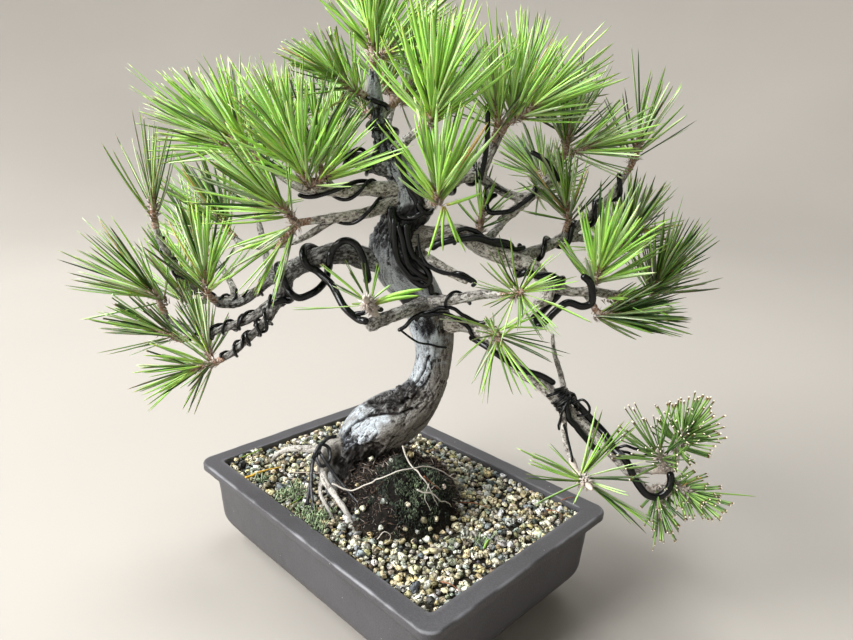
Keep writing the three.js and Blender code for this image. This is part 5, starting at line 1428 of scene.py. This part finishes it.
# Each spray: the limb that bears it, and its shoots. The tones, set spray by spray, carry painted light and
# shade as well as the needles' own colour
SPRAYS = {
    "left_low": ("left_low", shoot([-117, -24, 157], [-0.8, -0.25, -0.1], 0.72, 80, 20, 25, 0.35, 0.2),
        shoot([-119, -13, 165], [-0.35, 0.4, 0.85], 0.76, 62, 12, 22, 0.3)),
    "left_mid": ("left_mid", shoot([-145, -4, 170], [-0.9, -0.1, 0.4], 0.8, 56, 10, 27, 0.25, 0.3)),
    "left_tip": ("left_tip", shoot([-153, 0, 194], [-0.75, -0.1, 0.65], 1.05, 62, 12, 29, 0.35)),
    "left_front": ("left_upper", shoot([-117, -13, 206], [0.02, -0.2, 1], 0.9, 60, 12, 29, 0.75, 0, 1.15)),
    "left_inner": ("left_inner", shoot([-143, 17, 191], [-0.2, 0.2, 0.95], 0.9, 62, 12, 27, 0.4)),
    "left_high": ("left_back", shoot([-149, -5, 249], [0.02, -0.05, 1], 1.02, 42, 8, 13, 0.02, 0, 0.9)),
    "left_far": ("left_far", shoot([-146, 62, 218], [-0.5, 0.5, 0.7], 0.9, 62, 12, 26, 0.35)),
    "left_rear": ("left_rear", shoot([-105, 60, 249], [-0.3, 0.6, 0.75], 0.9, 62, 12, 26, 0.3)),
    "left_hanging": ("left_hanging", shoot([-112, 14, 241], [-0.6, 0.2, 0.8], 0.95, 62, 12, 28, 0.3)),
    "shoulder": ("left_shoulder", shoot([-63, -31, 256], [-0.75, -0.2, 0.62], 1, 62, 12, 28, 0.7, 0, 1.15),
        shoot([-60, -30, 244], [-0.6, -0.3, -0.75], 0.8, 50, 15, 14, 0.5)),
    "upper_left": ("upper_left", shoot([-86, -20, 289], [-0.72, -0.15, 0.7], 1, 62, 12, 30, 0.75, 0, 1.15)),
    "upper_left_far": ("upper_left_fork", shoot([-108, 5, 291], [-0.85, -0.1, 0.45], 0.92, 62, 12, 29, 0.5),
        shoot([-101, 18, 293], [-0.2, 0.4, 0.93], 0.95, 62, 12, 27, 0.4)),
    "upper_one": ("upper_left_one",
        shoot([-51, -33, 276], [-0.15, -0.4, 0.93], 1.04, 60, 12, 30, 0.85, 0, 1.25),
        shoot([-43, -33, 273], [0.7, -0.35, 0.6], 0.95, 55, 12, 16, 0.75)),
    "upper_two": ("upper_left_two",
        shoot([-58, -23, 283], [-0.45, -0.1, 0.9], 1.04, 62, 12, 30, 0.75, 0, 1.2)),
    "upper_three": ("upper_left_three", shoot([-47, -9, 284], [0.08, 0.1, 1], 1, 62, 12, 30, 0.6)),
    "rear_knob": ("rear_knob_twig", shoot([-40, 27, 303], [-0.25, 0.5, 0.85], 0.92, 62, 12, 27, 0.4)),
    "rear_left": ("rear_left", shoot([-77, 56, 298], [-0.3, 0.5, 0.8], 0.95, 62, 12, 26, 0.35),
        shoot([-81, 54, 286], [-0.8, 0.55, 0.15], 0.92, 62, 12, 24, 0.35)),
    "apex": ("trunk", shoot([-17, 6, 350], [-0.05, 0, 1], 0.9, 64, 12, 42, 0.85, 0, 1.2),
        shoot([-8, -1, 344], [0.85, -0.2, 0.5], 0.95, 62, 12, 25, 0.65)),
    "apex_front": ("apex_front", shoot([-29, -5, 325], [-0.75, -0.35, 0.6], 0.72, 74, 12, 36, 0.55, 0.5)),
    "apex_right": ("apex_right", shoot([4, 12, 323], [0.5, 0.3, 0.82], 0.95, 62, 12, 34, 0.5)),
    "apex_rear": ("apex_rear", shoot([-23, 26, 313], [-0.4, 0.85, 0.45], 0.9, 62, 12, 26, 0.4)),
    "apex_far": ("apex_far", shoot([-12, 54, 330], [-0.2, 0.25, 0.95], 0.92, 62, 12, 26, 0.4),
        shoot([0, 59, 320], [0.35, 0.85, 0.35], 0.92, 62, 12, 24, 0.35)),
    "crown_front": ("crown_front", shoot([20, -36, 311], [0.1, -0.3, 1], 1.08, 60, 12, 46, 0.95, 0, 1.35)),
    "hub_front": ("hub_front", shoot([24, -32, 267], [-0.05, -0.4, 1], 1.08, 58, 12, 28, 1, 0, 1.5)),
    "rear_sprig": ("sprig", shoot([52, 5, 248], [0.1, 0.1, 1], 0.5, 88, 12, 15, 0.5, 0, 0.8)),
    "right_high": ("upper_right_twig", shoot([59, 5, 309], [-0.3, -0.15, 0.95], 1, 62, 12, 29, 0.6)),
    "right_crown": ("upper_right", shoot([69, 14, 314], [0.22, 0.12, 0.97], 1.04, 62, 12, 31, 0.9, 0, 1.25),
        shoot([75, 4, 313], [0.78, -0.2, 0.6], 0.98, 62, 12, 28, 0.9, 0, 1.2)),
    "right_crown_rear": ("upper_rear", shoot([82, 60, 328], [0.1, 0.4, 0.92], 0.95, 62, 12, 26, 0.45),
        shoot([88, 60, 318], [0.8, 0.55, 0.3], 0.92, 62, 12, 24, 0.4)),
    "right_up": ("right_up", shoot([104, 19, 299], [0.15, 0.35, 0.92], 0.95, 62, 12, 30, 0.12),
        shoot([109, 9, 292], [0.88, -0.25, 0.35], 0.82, 62, 12, 23, 0.5, 0.4)),
    "right_up_rear": ("right_up_twig", shoot([94, 38, 273], [-0.4, 0.7, 0.55], 0.88, 62, 12, 25, 0.35)),
    "right_rear": ("right_rear", shoot([97, 61, 262], [0.4, 0.75, 0.5], 0.9, 62, 12, 25, 0.3)),
    "right_far_high": ("right_far", shoot([148, 20, 292], [0.2, -0.05, 0.97], 1, 66, 10, 16, 0.08)),
    "right_far_twig": ("right_far_twig", shoot([106, 6, 254], [-0.4, -0.3, 0.85], 0.85, 66, 12, 24, 0.05)),
    "right_far_low": ("right_far_low", shoot([151, 31, 232], [0.35, 0.25, 0.9], 0.84, 66, 12, 38, 0.02)),
    "right_far_rear": ("right_far_rear", shoot([158, 62, 233], [0.6, 0.5, 0.6], 0.9, 62, 12, 25, 0.35),
        shoot([146, 63, 223], [0.1, 0.9, 0.4], 0.88, 62, 12, 23, 0.35)),
    "right_front": ("right_low_twig",
        shoot([122, -17, 219], [0.15, -0.35, 0.95], 0.98, 62, 12, 26, 0.95, 0, 1.5)),
    "right_drop": ("right_low_drop", shoot([131, -12, 194], [0.97, -0.15, 0.16], 0.86, 40, 10, 34, 0.02)),
    "right_tip": ("right_low", shoot([166, 5, 209], [0.32, -0.1, 0.93], 0.84, 78, 12, 54, 0.02, 0, 0.95),
        shoot([138, -6, 203], [0.92, -0.35, 0], 0.55, 70, 20, 12, 0.85)),
    "front_right": ("front_right",
        shoot([71, -42, 214], [0.08, -0.93, 0.3], 0.72, 84, 38, 25, 0.4, 0, 0.75)),
    "lower_twig": ("lower_twig",
        shoot([61, -33, 187], [0.12, -0.95, -0.05], 0.86, 82, 36, 22, 0.45, 0, 0.8)),
    "cut_front": ("cut_twig", shoot([-13, -44, 205], [-0.15, -0.8, 0.5], 0.78, 80, 30, 12, 0.4, 0, 0.9,
        [[-27, -50, 233], [-24, -50, 226], [-18, -50, 232], [-8, -50, 232], [-39, -50, 231],
        [-62, -50, 200], [-23, -50, 208], [-32, -50, 218], [-2, -48, 219]])),
    "lower_fork": ("lower_fork", shoot([115, -60, 106], [0.15, -0.9, 0.1], 0.95, 88, 45, 16, 0.6, 0, 0.85,
        [[117, -74, 157], [123, -74, 145], [135, -74, 155], [137, -72, 156], [142, -74, 153],
        [149, -74, 131], [152, -74, 118], [138, -76, 105], [138, -76, 95], [156, -74, 86], [157, -72, 84],
        [145, -76, 89], [89, -72, 138], [80, -70, 133], [78, -72, 130], [80, -74, 123], [80, -74, 113],
        [88, -76, 103], [106, -78, 101]])),
    "lower_high": ("lower_end", shoot([170, -57, 131], [0.12, -0.5, 0.85], 0.58, 95, 14, 42, 0.8, 1, 1.1),
        shoot([161, -58, 119], [-0.45, -0.5, 0.7], 0.84, 62, 15, 18, 0.4, 1)),
    "lower_end": ("lower", shoot([174, -58, 101], [0.7, -0.6, -0.1], 0.42, 95, 18, 38, 0.8, 1, 1.1),
        shoot([162, -58, 94], [0.15, -0.35, -0.95], 0.42, 70, 14, 18, 0.45, 1)),
}

# Stations of a needle: (share along, share of its width)
BLADE_ROWS = np.array([(0, 0.72), (0.14, 0.95), (0.45, 1), (0.75, 0.86), (0.93, 0.48)])
CUT_ROWS = np.array([(0, 0.72), (0.2, 0.95), (0.5, 1), (0.95, 0.92), (0.975, 1.05), (0.995, 0.98)])
GOLDEN_ANGLE = np.radians(137.5)


def needle_blades(base, direction, across, length, width, bend, rows):
    """Needles with three sides. A station at share s is base + length · s · direction + s² · bend, and
    its three corners stand round it at width · profile(s) / 2; a middle point closes the tip. Returns
    points, faces and the share along of each point."""
    share, profile = rows.T
    side = np.cross(across, direction)
    run = direction[:, None] * (length[:, None] * share)[..., None]
    middle = base[:, None] + run + bend[:, None] * (share ** 2)[:, None]
    corner = np.array([(1, -0.3), (0, 0.62), (-1, -0.3)]) / 2
    reach = (width[:, None] * profile)[..., None, None]
    ring = across[:, None, None] * corner[:, :1] + side[:, None, None] * corner[:, 1:]
    grid = (middle[:, :, None] + ring * reach).reshape(len(base), -1, 3)
    tip = base + direction * length[:, None] + bend
    points = np.concatenate([grid, tip[:, None]], 1)
    form = lattice(len(share), 3)
    last = np.arange(3 * len(share) - 3, 3 * len(share))
    caps = np.vstack([[[0, 1, 2]], fan(3 * len(share), last[::-1])])
    along = np.append(np.repeat(share, 3), 1)
    each = points.shape[1]
    faces = [repeated(form, len(base), each), repeated(caps, len(base), each)]
    return points.reshape(-1, 3), faces, np.tile(along, len(base))


def shoot_needles(growth, rng):
    """The pairs of one shoot. Pair i stands at the golden angle from the last, and leans from the
    shoot's axis by an angle that falls from the rear to the tip; its two needles part by a few degrees
    and bow a little, up and towards the shoot's axis."""
    tips = growth["tips"]
    count = len(tips) or round(0.96 * growth["pairs"] * (1.3 if growth["cut"] == 1 else 1))
    share = (np.arange(count) + rng.uniform(0.1, 0.9, count)) / count
    towards = growth["towards"]
    across = unit(np.cross(towards, [0.3, 0.1, 0.94]))
    side = np.cross(across, towards)
    turn = np.arange(count) * GOLDEN_ANGLE + rng.normal(0, 0.15, count)
    radial = around(turn, across, side)
    rear = growth["rear"] * 0.86
    lean = rear + (growth["tip"] - rear) * share ** 0.8 + rng.normal(0, 7, count)
    axis = around(np.radians(lean), towards, radial)
    base = growth["at"] + towards * (-6 + 18 * share)[:, None] + radial * 1.1
    if len(tips):
        base = growth["at"] + towards * (-4 + 8 * share)[:, None]
        axis = unit(tips - base)
    split = unit(np.cross(axis, rng.normal(size=(count, 3))))
    angle = np.radians(rng.uniform(2, 5.5, count))[:, None] * (0.4 if len(tips) else 1)
    axis = unit(np.vstack([axis + split * angle, axis - split * angle]))
    split = np.vstack([split, split])
    split = unit(split - axis * (axis * split).sum(1)[:, None])
    base = np.vstack([base, base])
    length = growth["length"] * rng.uniform(0.9, 1.03, 2 * count)
    length = length * np.tile(rng.uniform(0.68, 1, count), 2)
    if len(tips):
        length = np.tile(np.linalg.norm(tips - base[:count], axis=1), 2)
        length = length * rng.uniform(0.96, 1.04, 2 * count)
        towards = 0 * towards
    drawn = np.tile(rng.normal(0, 0.05, (count, 3)), (2, 1)) + rng.normal(0, 0.02, (2 * count, 3))
    bend = (towards * 0.09 + drawn + [0, 0, -0.02]) * length[:, None]
    width = rng.uniform(1.2, 1.8, 2 * count) * growth["width"] * (0.8 if growth["cut"] == 1 else 1)
    cut = np.tile(rng.random(count) < growth["cut"], 2)
    tone = np.clip(growth["tone"] + rng.normal(0, 0.42, 2 * count), 0, 1)
    return base, axis, split, length, width, bend, cut, tone


def make_needles():
    """Each spray's needles as one piece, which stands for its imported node."""
    for number, (name, (_, *shoots)) in enumerate(SPRAYS.items()):
        rng = np.random.default_rng(500 + number)
        grown = [shoot_needles(growth, rng) for growth in shoots]
        base, axis, split, length, width, bend, cut, tone = (np.concatenate(each) for each in zip(*grown))
        dry = (rng.random(len(base)) < 0.012) * rng.uniform(0.5, 1, len(base))
        draw = rng.random(len(base))
        material = cut_needle if cut.all() else needle
        for kind, rows, chosen, share in (("needles_", BLADE_ROWS, ~cut, 1),
                                          ("cut_needles_", CUT_ROWS, cut, 0.86)):
            if not chosen.any():
                continue
            points, faces, along = needle_blades(
                base[chosen], axis[chosen], split[chosen], share * length[chosen],
                width[chosen], bend[chosen], rows)
            each = len(rows) * 3 + 1
            own = [np.repeat(value[chosen], each) for value in (tone, dry, draw)]
            looks = np.column_stack([along, *own])
            # Painted highlight: a lighter stripe along each needle's ridge, with darker edges.
            ridge_highlight = np.append(np.tile([-0.18, 0.25, -0.18], len(rows)), 0)
            looks[:, 1] = np.clip(looks[:, 1] + np.tile(ridge_highlight, chosen.sum()), 0, 1)
            packed = "spray_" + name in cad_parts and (kind == "needles_" or cut.all())
            replaces = ["spray_" + name] if packed else ()
            make_piece(kind + name, in_row(points), faces, material, looks, replaces)


def scales(angle, share):
    """Overlapping scales on a shoot: a saw-tooth that climbs in three spirals."""
    saw = (share * 11 + 3 * angle / (2 * np.pi)) % 1
    return 1 + 0.22 * saw + 0.06 * np.sin(5 * angle + 60 * share)


def make_shoots():
    """The scaly stem of every shoot from its twig's end to its bud, with papery wisps on it."""
    rng = np.random.default_rng(77)
    stems, looks = [], []
    for limb, *shoots in SPRAYS.values():
        path = limb_path(limb)
        for growth in shoots:
            at, towards = growth["at"], growth["towards"]
            leave = path[-1, :3]
            bow = leave + unit(path[-1, :3] - path[-3, :3]) * 0.35 * np.linalg.norm(at - leave)
            line = [[*path[-3, :3], 1.9], [*leave, 1.9], [*bow, 1.8], [*at, 1.9]]
            line += [[*(at + towards * step), radius] for step, radius in ((7, 1.7), (12, 1.3), (14.5, 0.5))]
            points, faces = tube(smooth_path(line, 0.6), 10, scales)
            stems.append((points, faces))
            papery = growth["cut"] == 1 or len(growth["tips"]) > 0
            pale = 0.5 + 0.4 * rng.random(len(points)) if papery else rng.random(len(points)) ** 4
            looks.append(np.column_stack([0.25 + 0.6 * rng.random(len(points)), pale]))
            count = 200 if papery else 60
            share = rng.random(count)
            turn = rng.uniform(0, 2 * np.pi, count)
            across = unit(np.cross(towards, [0.3, 0.1, 0.94]))
            radial = around(turn, across, np.cross(across, towards))
            base = at + towards * (-8 + 15 * share)[:, None] + radial * 1.5
            lean = unit(radial + towards * rng.uniform(0.1, 1.6, (count, 1)))
            tip = base + lean * rng.uniform(2, 6, (count, 1))
            points, faces = blades(base, tip, rng.uniform(0.5, 1.3, count) * (1.8 if papery else 1), rng)
            stems.append((points, faces))
            white = rng.uniform(0.55, 1, count) if papery else rng.random(count) ** 1.2
            looks.append(np.repeat(np.column_stack([rng.random(count), white]), 4, axis=0))
    points, faces = joined(stems)
    make_piece("shoot_stems", in_row(points), faces, shoot_bark, np.vstack(looks))


# Rootlets, fallen needles and weeds

# Each fibre: (points, radius, how pale, how red)
FIBRES = [
    ([[-38, -33, 82], [-27, -36, 79], [-21, -38, 82], [-10, -44, 91], [9, -46, 101], [24, -38, 99],
        [40, -30, 87], [53, -6, 61]], 0.75, 0.9, 0),
    ([[7, -30, 109], [12, -36, 99], [21, -44, 94], [26, -46, 86], [33, -40, 66]], 0.8, 0.9, 0),
    ([[17, -50, 90], [21, -50, 88], [27, -48, 86], [32, -46, 80], [37, -40, 75],
        [41, -31, 63]], 0.7, 0.95, 0),
    ([[21, -45, 96], [31, -33, 80], [40, -20, 64]], 0.6, 0.1, 0.9),
    ([[-6, -66, 65], [-2, -66, 70], [2, -66, 68], [1, -66, 64], [-3, -66, 61]], 0.4, 1, 0),
    ([[-104, 2, 63.5], [-94, 9, 65], [-82, 16, 65]], 1.3, 0.6, 0.2),
    ([[42, -22, 64], [54, -24, 65], [66, -26, 63]], 0.55, 0.1, 0.8),
    ([[32, -102, 64], [37, -104, 65], [42, -107, 63]], 0.5, 0.1, 0.8),
    ([[102, -27, 64], [108, -30, 65], [113, -32, 63]], 0.5, 0.1, 0.8),
    ([[114, -16, 64], [122, -13, 65], [129, -10, 63]], 0.5, 0.2, 0.8),
    ([[-70, -10, 76], [-54, -15, 79], [-38, -18, 80]], 0.5, 0.8, 0.2),
    ([[26, -44, 88], [30, -36, 84], [36, -30, 72], [44, -26, 64]], 0.4, 0.8, 0),
    ([[38, -30, 88], [42, -20, 84], [46, -14, 70], [52, -10, 63]], 0.35, 0.7, 0),
    ([[24, -46, 92], [22, -50, 84], [26, -52, 76]], 0.35, 0.9, 0),
]


def make_fibres():
    """Bare rootlets over the mound, and dry needles that lie on the gravel; each tapers to its end."""
    parts, looks = [], []
    for number, (line, radius, pale, red) in enumerate(FIBRES):
        taper = np.linspace(0.8, 0.3, len(line)) * radius
        path = smooth_path(np.column_stack([line, taper]), 0.9)
        path[:, :3] += 0.5 * three_noises(path[:, :3] / 4, 100 + 3 * number)
        points, faces = tube(path, 7)
        parts.append((points, faces))
        looks.append(np.tile([pale, red, radius > 1.2], (len(points), 1)))
    points, faces = joined(parts)
    make_piece("rootlets", in_row(points), faces, fibre, np.vstack(looks))


# Single needles: (from, to, how far the tip bends aside, tone, width)
LOOSE_NEEDLES = [
    ([27, -33, 261], [19, -38, 232], [-2, 0, -1], 0.8, 1.7),
    ([28, -33, 261], [28, -38, 236], [3, 0, 0], 0.7, 1.7),
    ([28, -33, 260], [36, -38, 241], [-1, 0, -1], 0.8, 1.8),
    ([28, -33, 261], [41, -38, 236], [3, 0, -2], 0.9, 1.9),
    ([29, -34, 262], [49, -38, 270], [1, 0, 2], 0.9, 2),
    ([87, -42, 210], [111, -60, 203], [0, 0, -2], 0.9, 1.5),
    ([-10, -45, 207], [18, -50, 217], [2, 0, -5], 0.9, 3),
    ([-10, -45, 206], [16, -50, 213], [2, 0, -4], 0.7, 2.6),
    ([-116, 30, 63.5], [-101, 41, 66], [0, 0, 0], 0.6, 1.5),
    ([-66, -30, 64], [-58, -24, 67], [0, 0, 1], 0.5, 1.5),
    ([58, -69, 62], [61, -68, 69], [1, 0, 0], 0.5, 1.5),
    ([176, -60, 100], [220, -60, 98], [0, 0, -2], 0.8, 1.4),
]


def make_loose_needles():
    """Single needles that hang from the hub's front shoot, stand away, or have fallen on the gravel."""
    base, tip, bend = (np.array([each[k] for each in LOOSE_NEEDLES], float) for k in range(3))
    tone, width = np.array([each[3:] for each in LOOSE_NEEDLES]).T
    straight_way = tip - base - bend
    length = np.linalg.norm(straight_way, axis=1)
    direction = straight_way / length[:, None]
    across = unit(np.cross(direction, [0.2, 1, 0.3]))
    points, faces, along = needle_blades(base, direction, across, length, width, bend, BLADE_ROWS)
    own = [np.repeat(value, len(points) // len(base)) for value in (tone, 0 * tone, 0.3 * tone)]
    looks = np.column_stack([along, *own])
    make_piece("loose_needles", in_row(points), faces, needle, looks)


def make_litter():
    """Dark fibres and rotted needles over the bare side of the mound."""
    rng = np.random.default_rng(57)
    spots = np.column_stack([rng.uniform(-46, 50, 5200), rng.uniform(-70, 30, 5200)])
    flat = on_pot(spots)
    kept = (mound_height(*flat.T) > 1.5) & (from_moss(spots) > 0.75 + 0.2 * rng.random(len(spots)))
    flat = flat[kept]
    base = np.column_stack([flat, ground_height(*flat.T) - 0.2])
    lean = unit(rng.normal(0, 1, base.shape) * [1, 1, 0.45] + [0, 0, 0.2])
    tip = base + lean * rng.uniform(2, 7, (len(base), 1))
    points, faces = blades(base, tip, rng.uniform(0.35, 0.9, len(base)), rng)
    pale = rng.random(len(base)) ** 5 * 0.7
    looks = np.repeat(np.column_stack([pale, 0.12 * rng.random(len(base))]), 4, axis=0)
    make_piece("mound_litter", points + POT_MIDDLE, faces, fibre, looks)


def make_weeds():
    """Tiny seedlings at the gravel's edge: a few short bent blades from each root."""
    rng = np.random.default_rng(31)
    roots = np.array([(-73, -14), (-68, -14), (-75, -19), (-66, -8), (-63, -18), (-50, -48), (-46, -43),
                      (-54, -41), (-41, -38), (-43, -53), (-50, -38), (58, -63), (-93, 4), (-58, -34)], float)
    flat = np.repeat(roots, 22, axis=0) + rng.normal(0, 2.6, (22 * len(roots), 2))
    base = np.column_stack([flat, np.full(len(flat), 61.5)])
    lean = unit(rng.normal(0, 0.7, base.shape) * [1, 1, 0.3] + [0, 0, 1])
    length = rng.uniform(2.5, 6, len(base))
    across = unit(np.cross(lean, rng.normal(size=base.shape)))
    bend = rng.normal(0, 0.2, base.shape) * length[:, None]
    width = rng.uniform(0.7, 1.3, len(base))
    points, faces, along = needle_blades(base, lean, across, length, width, bend, BLADE_ROWS)
    tone = np.repeat(rng.uniform(0.6, 1, len(base)), len(points) // len(base))
    looks = np.column_stack([0.4 + 0.6 * along, tone])
    make_piece("seedlings", in_row(points), faces, moss, looks)


make_pot()
make_ground()
make_gravel()
make_moss()
make_wood()
make_wires()
make_root_tie()
make_needles()
make_shoots()
make_fibres()
make_weeds()
make_loose_needles()
make_litter()

# Floor, camera and lights


def make_floor():
    """A pale bowl: a level floor that turns up in a quarter circle into a wall."""
    bend, sides, below = 1700, 96, 0.3
    t = np.radians(np.linspace(0, 90, 16))
    reach = np.concatenate([[40, 400, 900, 1500], bend + bend * np.sin(t), [2 * bend]])
    height = np.concatenate([[0, 0, 0, 0], bend - bend * np.cos(t), [3200]]) - below
    turn = np.linspace(0, 2 * np.pi, sides, endpoint=False)
    ring = np.stack([np.cos(turn), np.sin(turn), 0 * turn], -1)
    grid = reach[:, None, None] * ring + height[:, None, None] * [0, 0, 1]
    points = np.vstack([grid.reshape(-1, 3), [[0, 0, -below]]])
    faces = [lattice(len(reach), sides), fan(len(points) - 1, np.arange(sides)[::-1])]
    mesh = make_mesh("floor", points + POT_MIDDLE, faces)
    mesh.materials.append(pale_floor)
    in_scene("floor", mesh)


def make_camera():
    """The view that the tree was seen in, from its front and a little above it."""
    up = np.array([0, 0, 1])
    ahead = np.cross(up, CAMERA_RIGHT)
    look = np.cos(CAMERA_PITCH) * ahead - np.sin(CAMERA_PITCH) * up
    level = np.cos(CAMERA_PITCH) * up + np.sin(CAMERA_PITCH) * ahead
    across = np.cos(CAMERA_ROLL) * CAMERA_RIGHT + np.sin(CAMERA_ROLL) * level
    top = -np.sin(CAMERA_ROLL) * CAMERA_RIGHT + np.cos(CAMERA_ROLL) * level
    place = (POT_MIDDLE + CAMERA_PLACE) / 1000
    lens = bpy.data.cameras.new("camera")
    lens.lens = 27.78
    lens.sensor_width = 36
    camera = in_scene("camera", lens)
    turn = Matrix((Vector(across), Vector(top), Vector(-look))).transposed().to_4x4()
    camera.matrix_world = Matrix.Translation(Vector(place)) @ turn
    bpy.context.scene.camera = camera


def make_light(name, place, target, width, height, power, tint):
    """A soft light at a place of the tree's frame, in mm, that faces its target."""
    light = bpy.data.lights.new(name, "AREA")
    light.shape = "RECTANGLE"
    light.size = width
    light.size_y = height
    light.energy = power
    light.color = tint
    lamp = in_scene(name, light)
    here, there = (Vector(in_row(each) / 1000) for each in (place, target))
    turn = (there - here).to_track_quat("-Z", "Y").to_matrix().to_4x4()
    lamp.matrix_world = Matrix.Translation(here) @ turn
    lamp.visible_camera = False


make_floor()
make_camera()
make_light("key", (-2700, -690, 1850), (0, 0, 180), 1.35, 1.35, 150, (1, 1, 1))
make_light("strip", (-2300, -1500, 1300), (0, 0, 180), 0.7, 2.6, 82, (0.97, 0.99, 1))
make_light("arc", (-1500, -200, 2400), (0, 0, 180), 2.2, 0.5, 52, (0.98, 0.99, 1))
make_light("fill", (1000, -2000, 1400), (0, 0, 160), 2, 2, 3, (0.95, 0.98, 1))
make_light("top", (-200, 400, 2600), (0, 0, 0), 0.9, 0.9, 36, (0.97, 0.99, 1))
make_light("back", (900, 2000, 2600), (0, 0, 200), 2, 2, 30, (1, 1, 1))

world = bpy.data.worlds.new("world")
world.use_nodes = True
world.node_tree.nodes["Background"].inputs["Color"].default_value = (0.97, 0.98, 1, 1)
world.node_tree.nodes["Background"].inputs["Strength"].default_value = 0.13
bpy.context.scene.world = world
bpy.context.scene.view_settings.view_transform = "Standard"
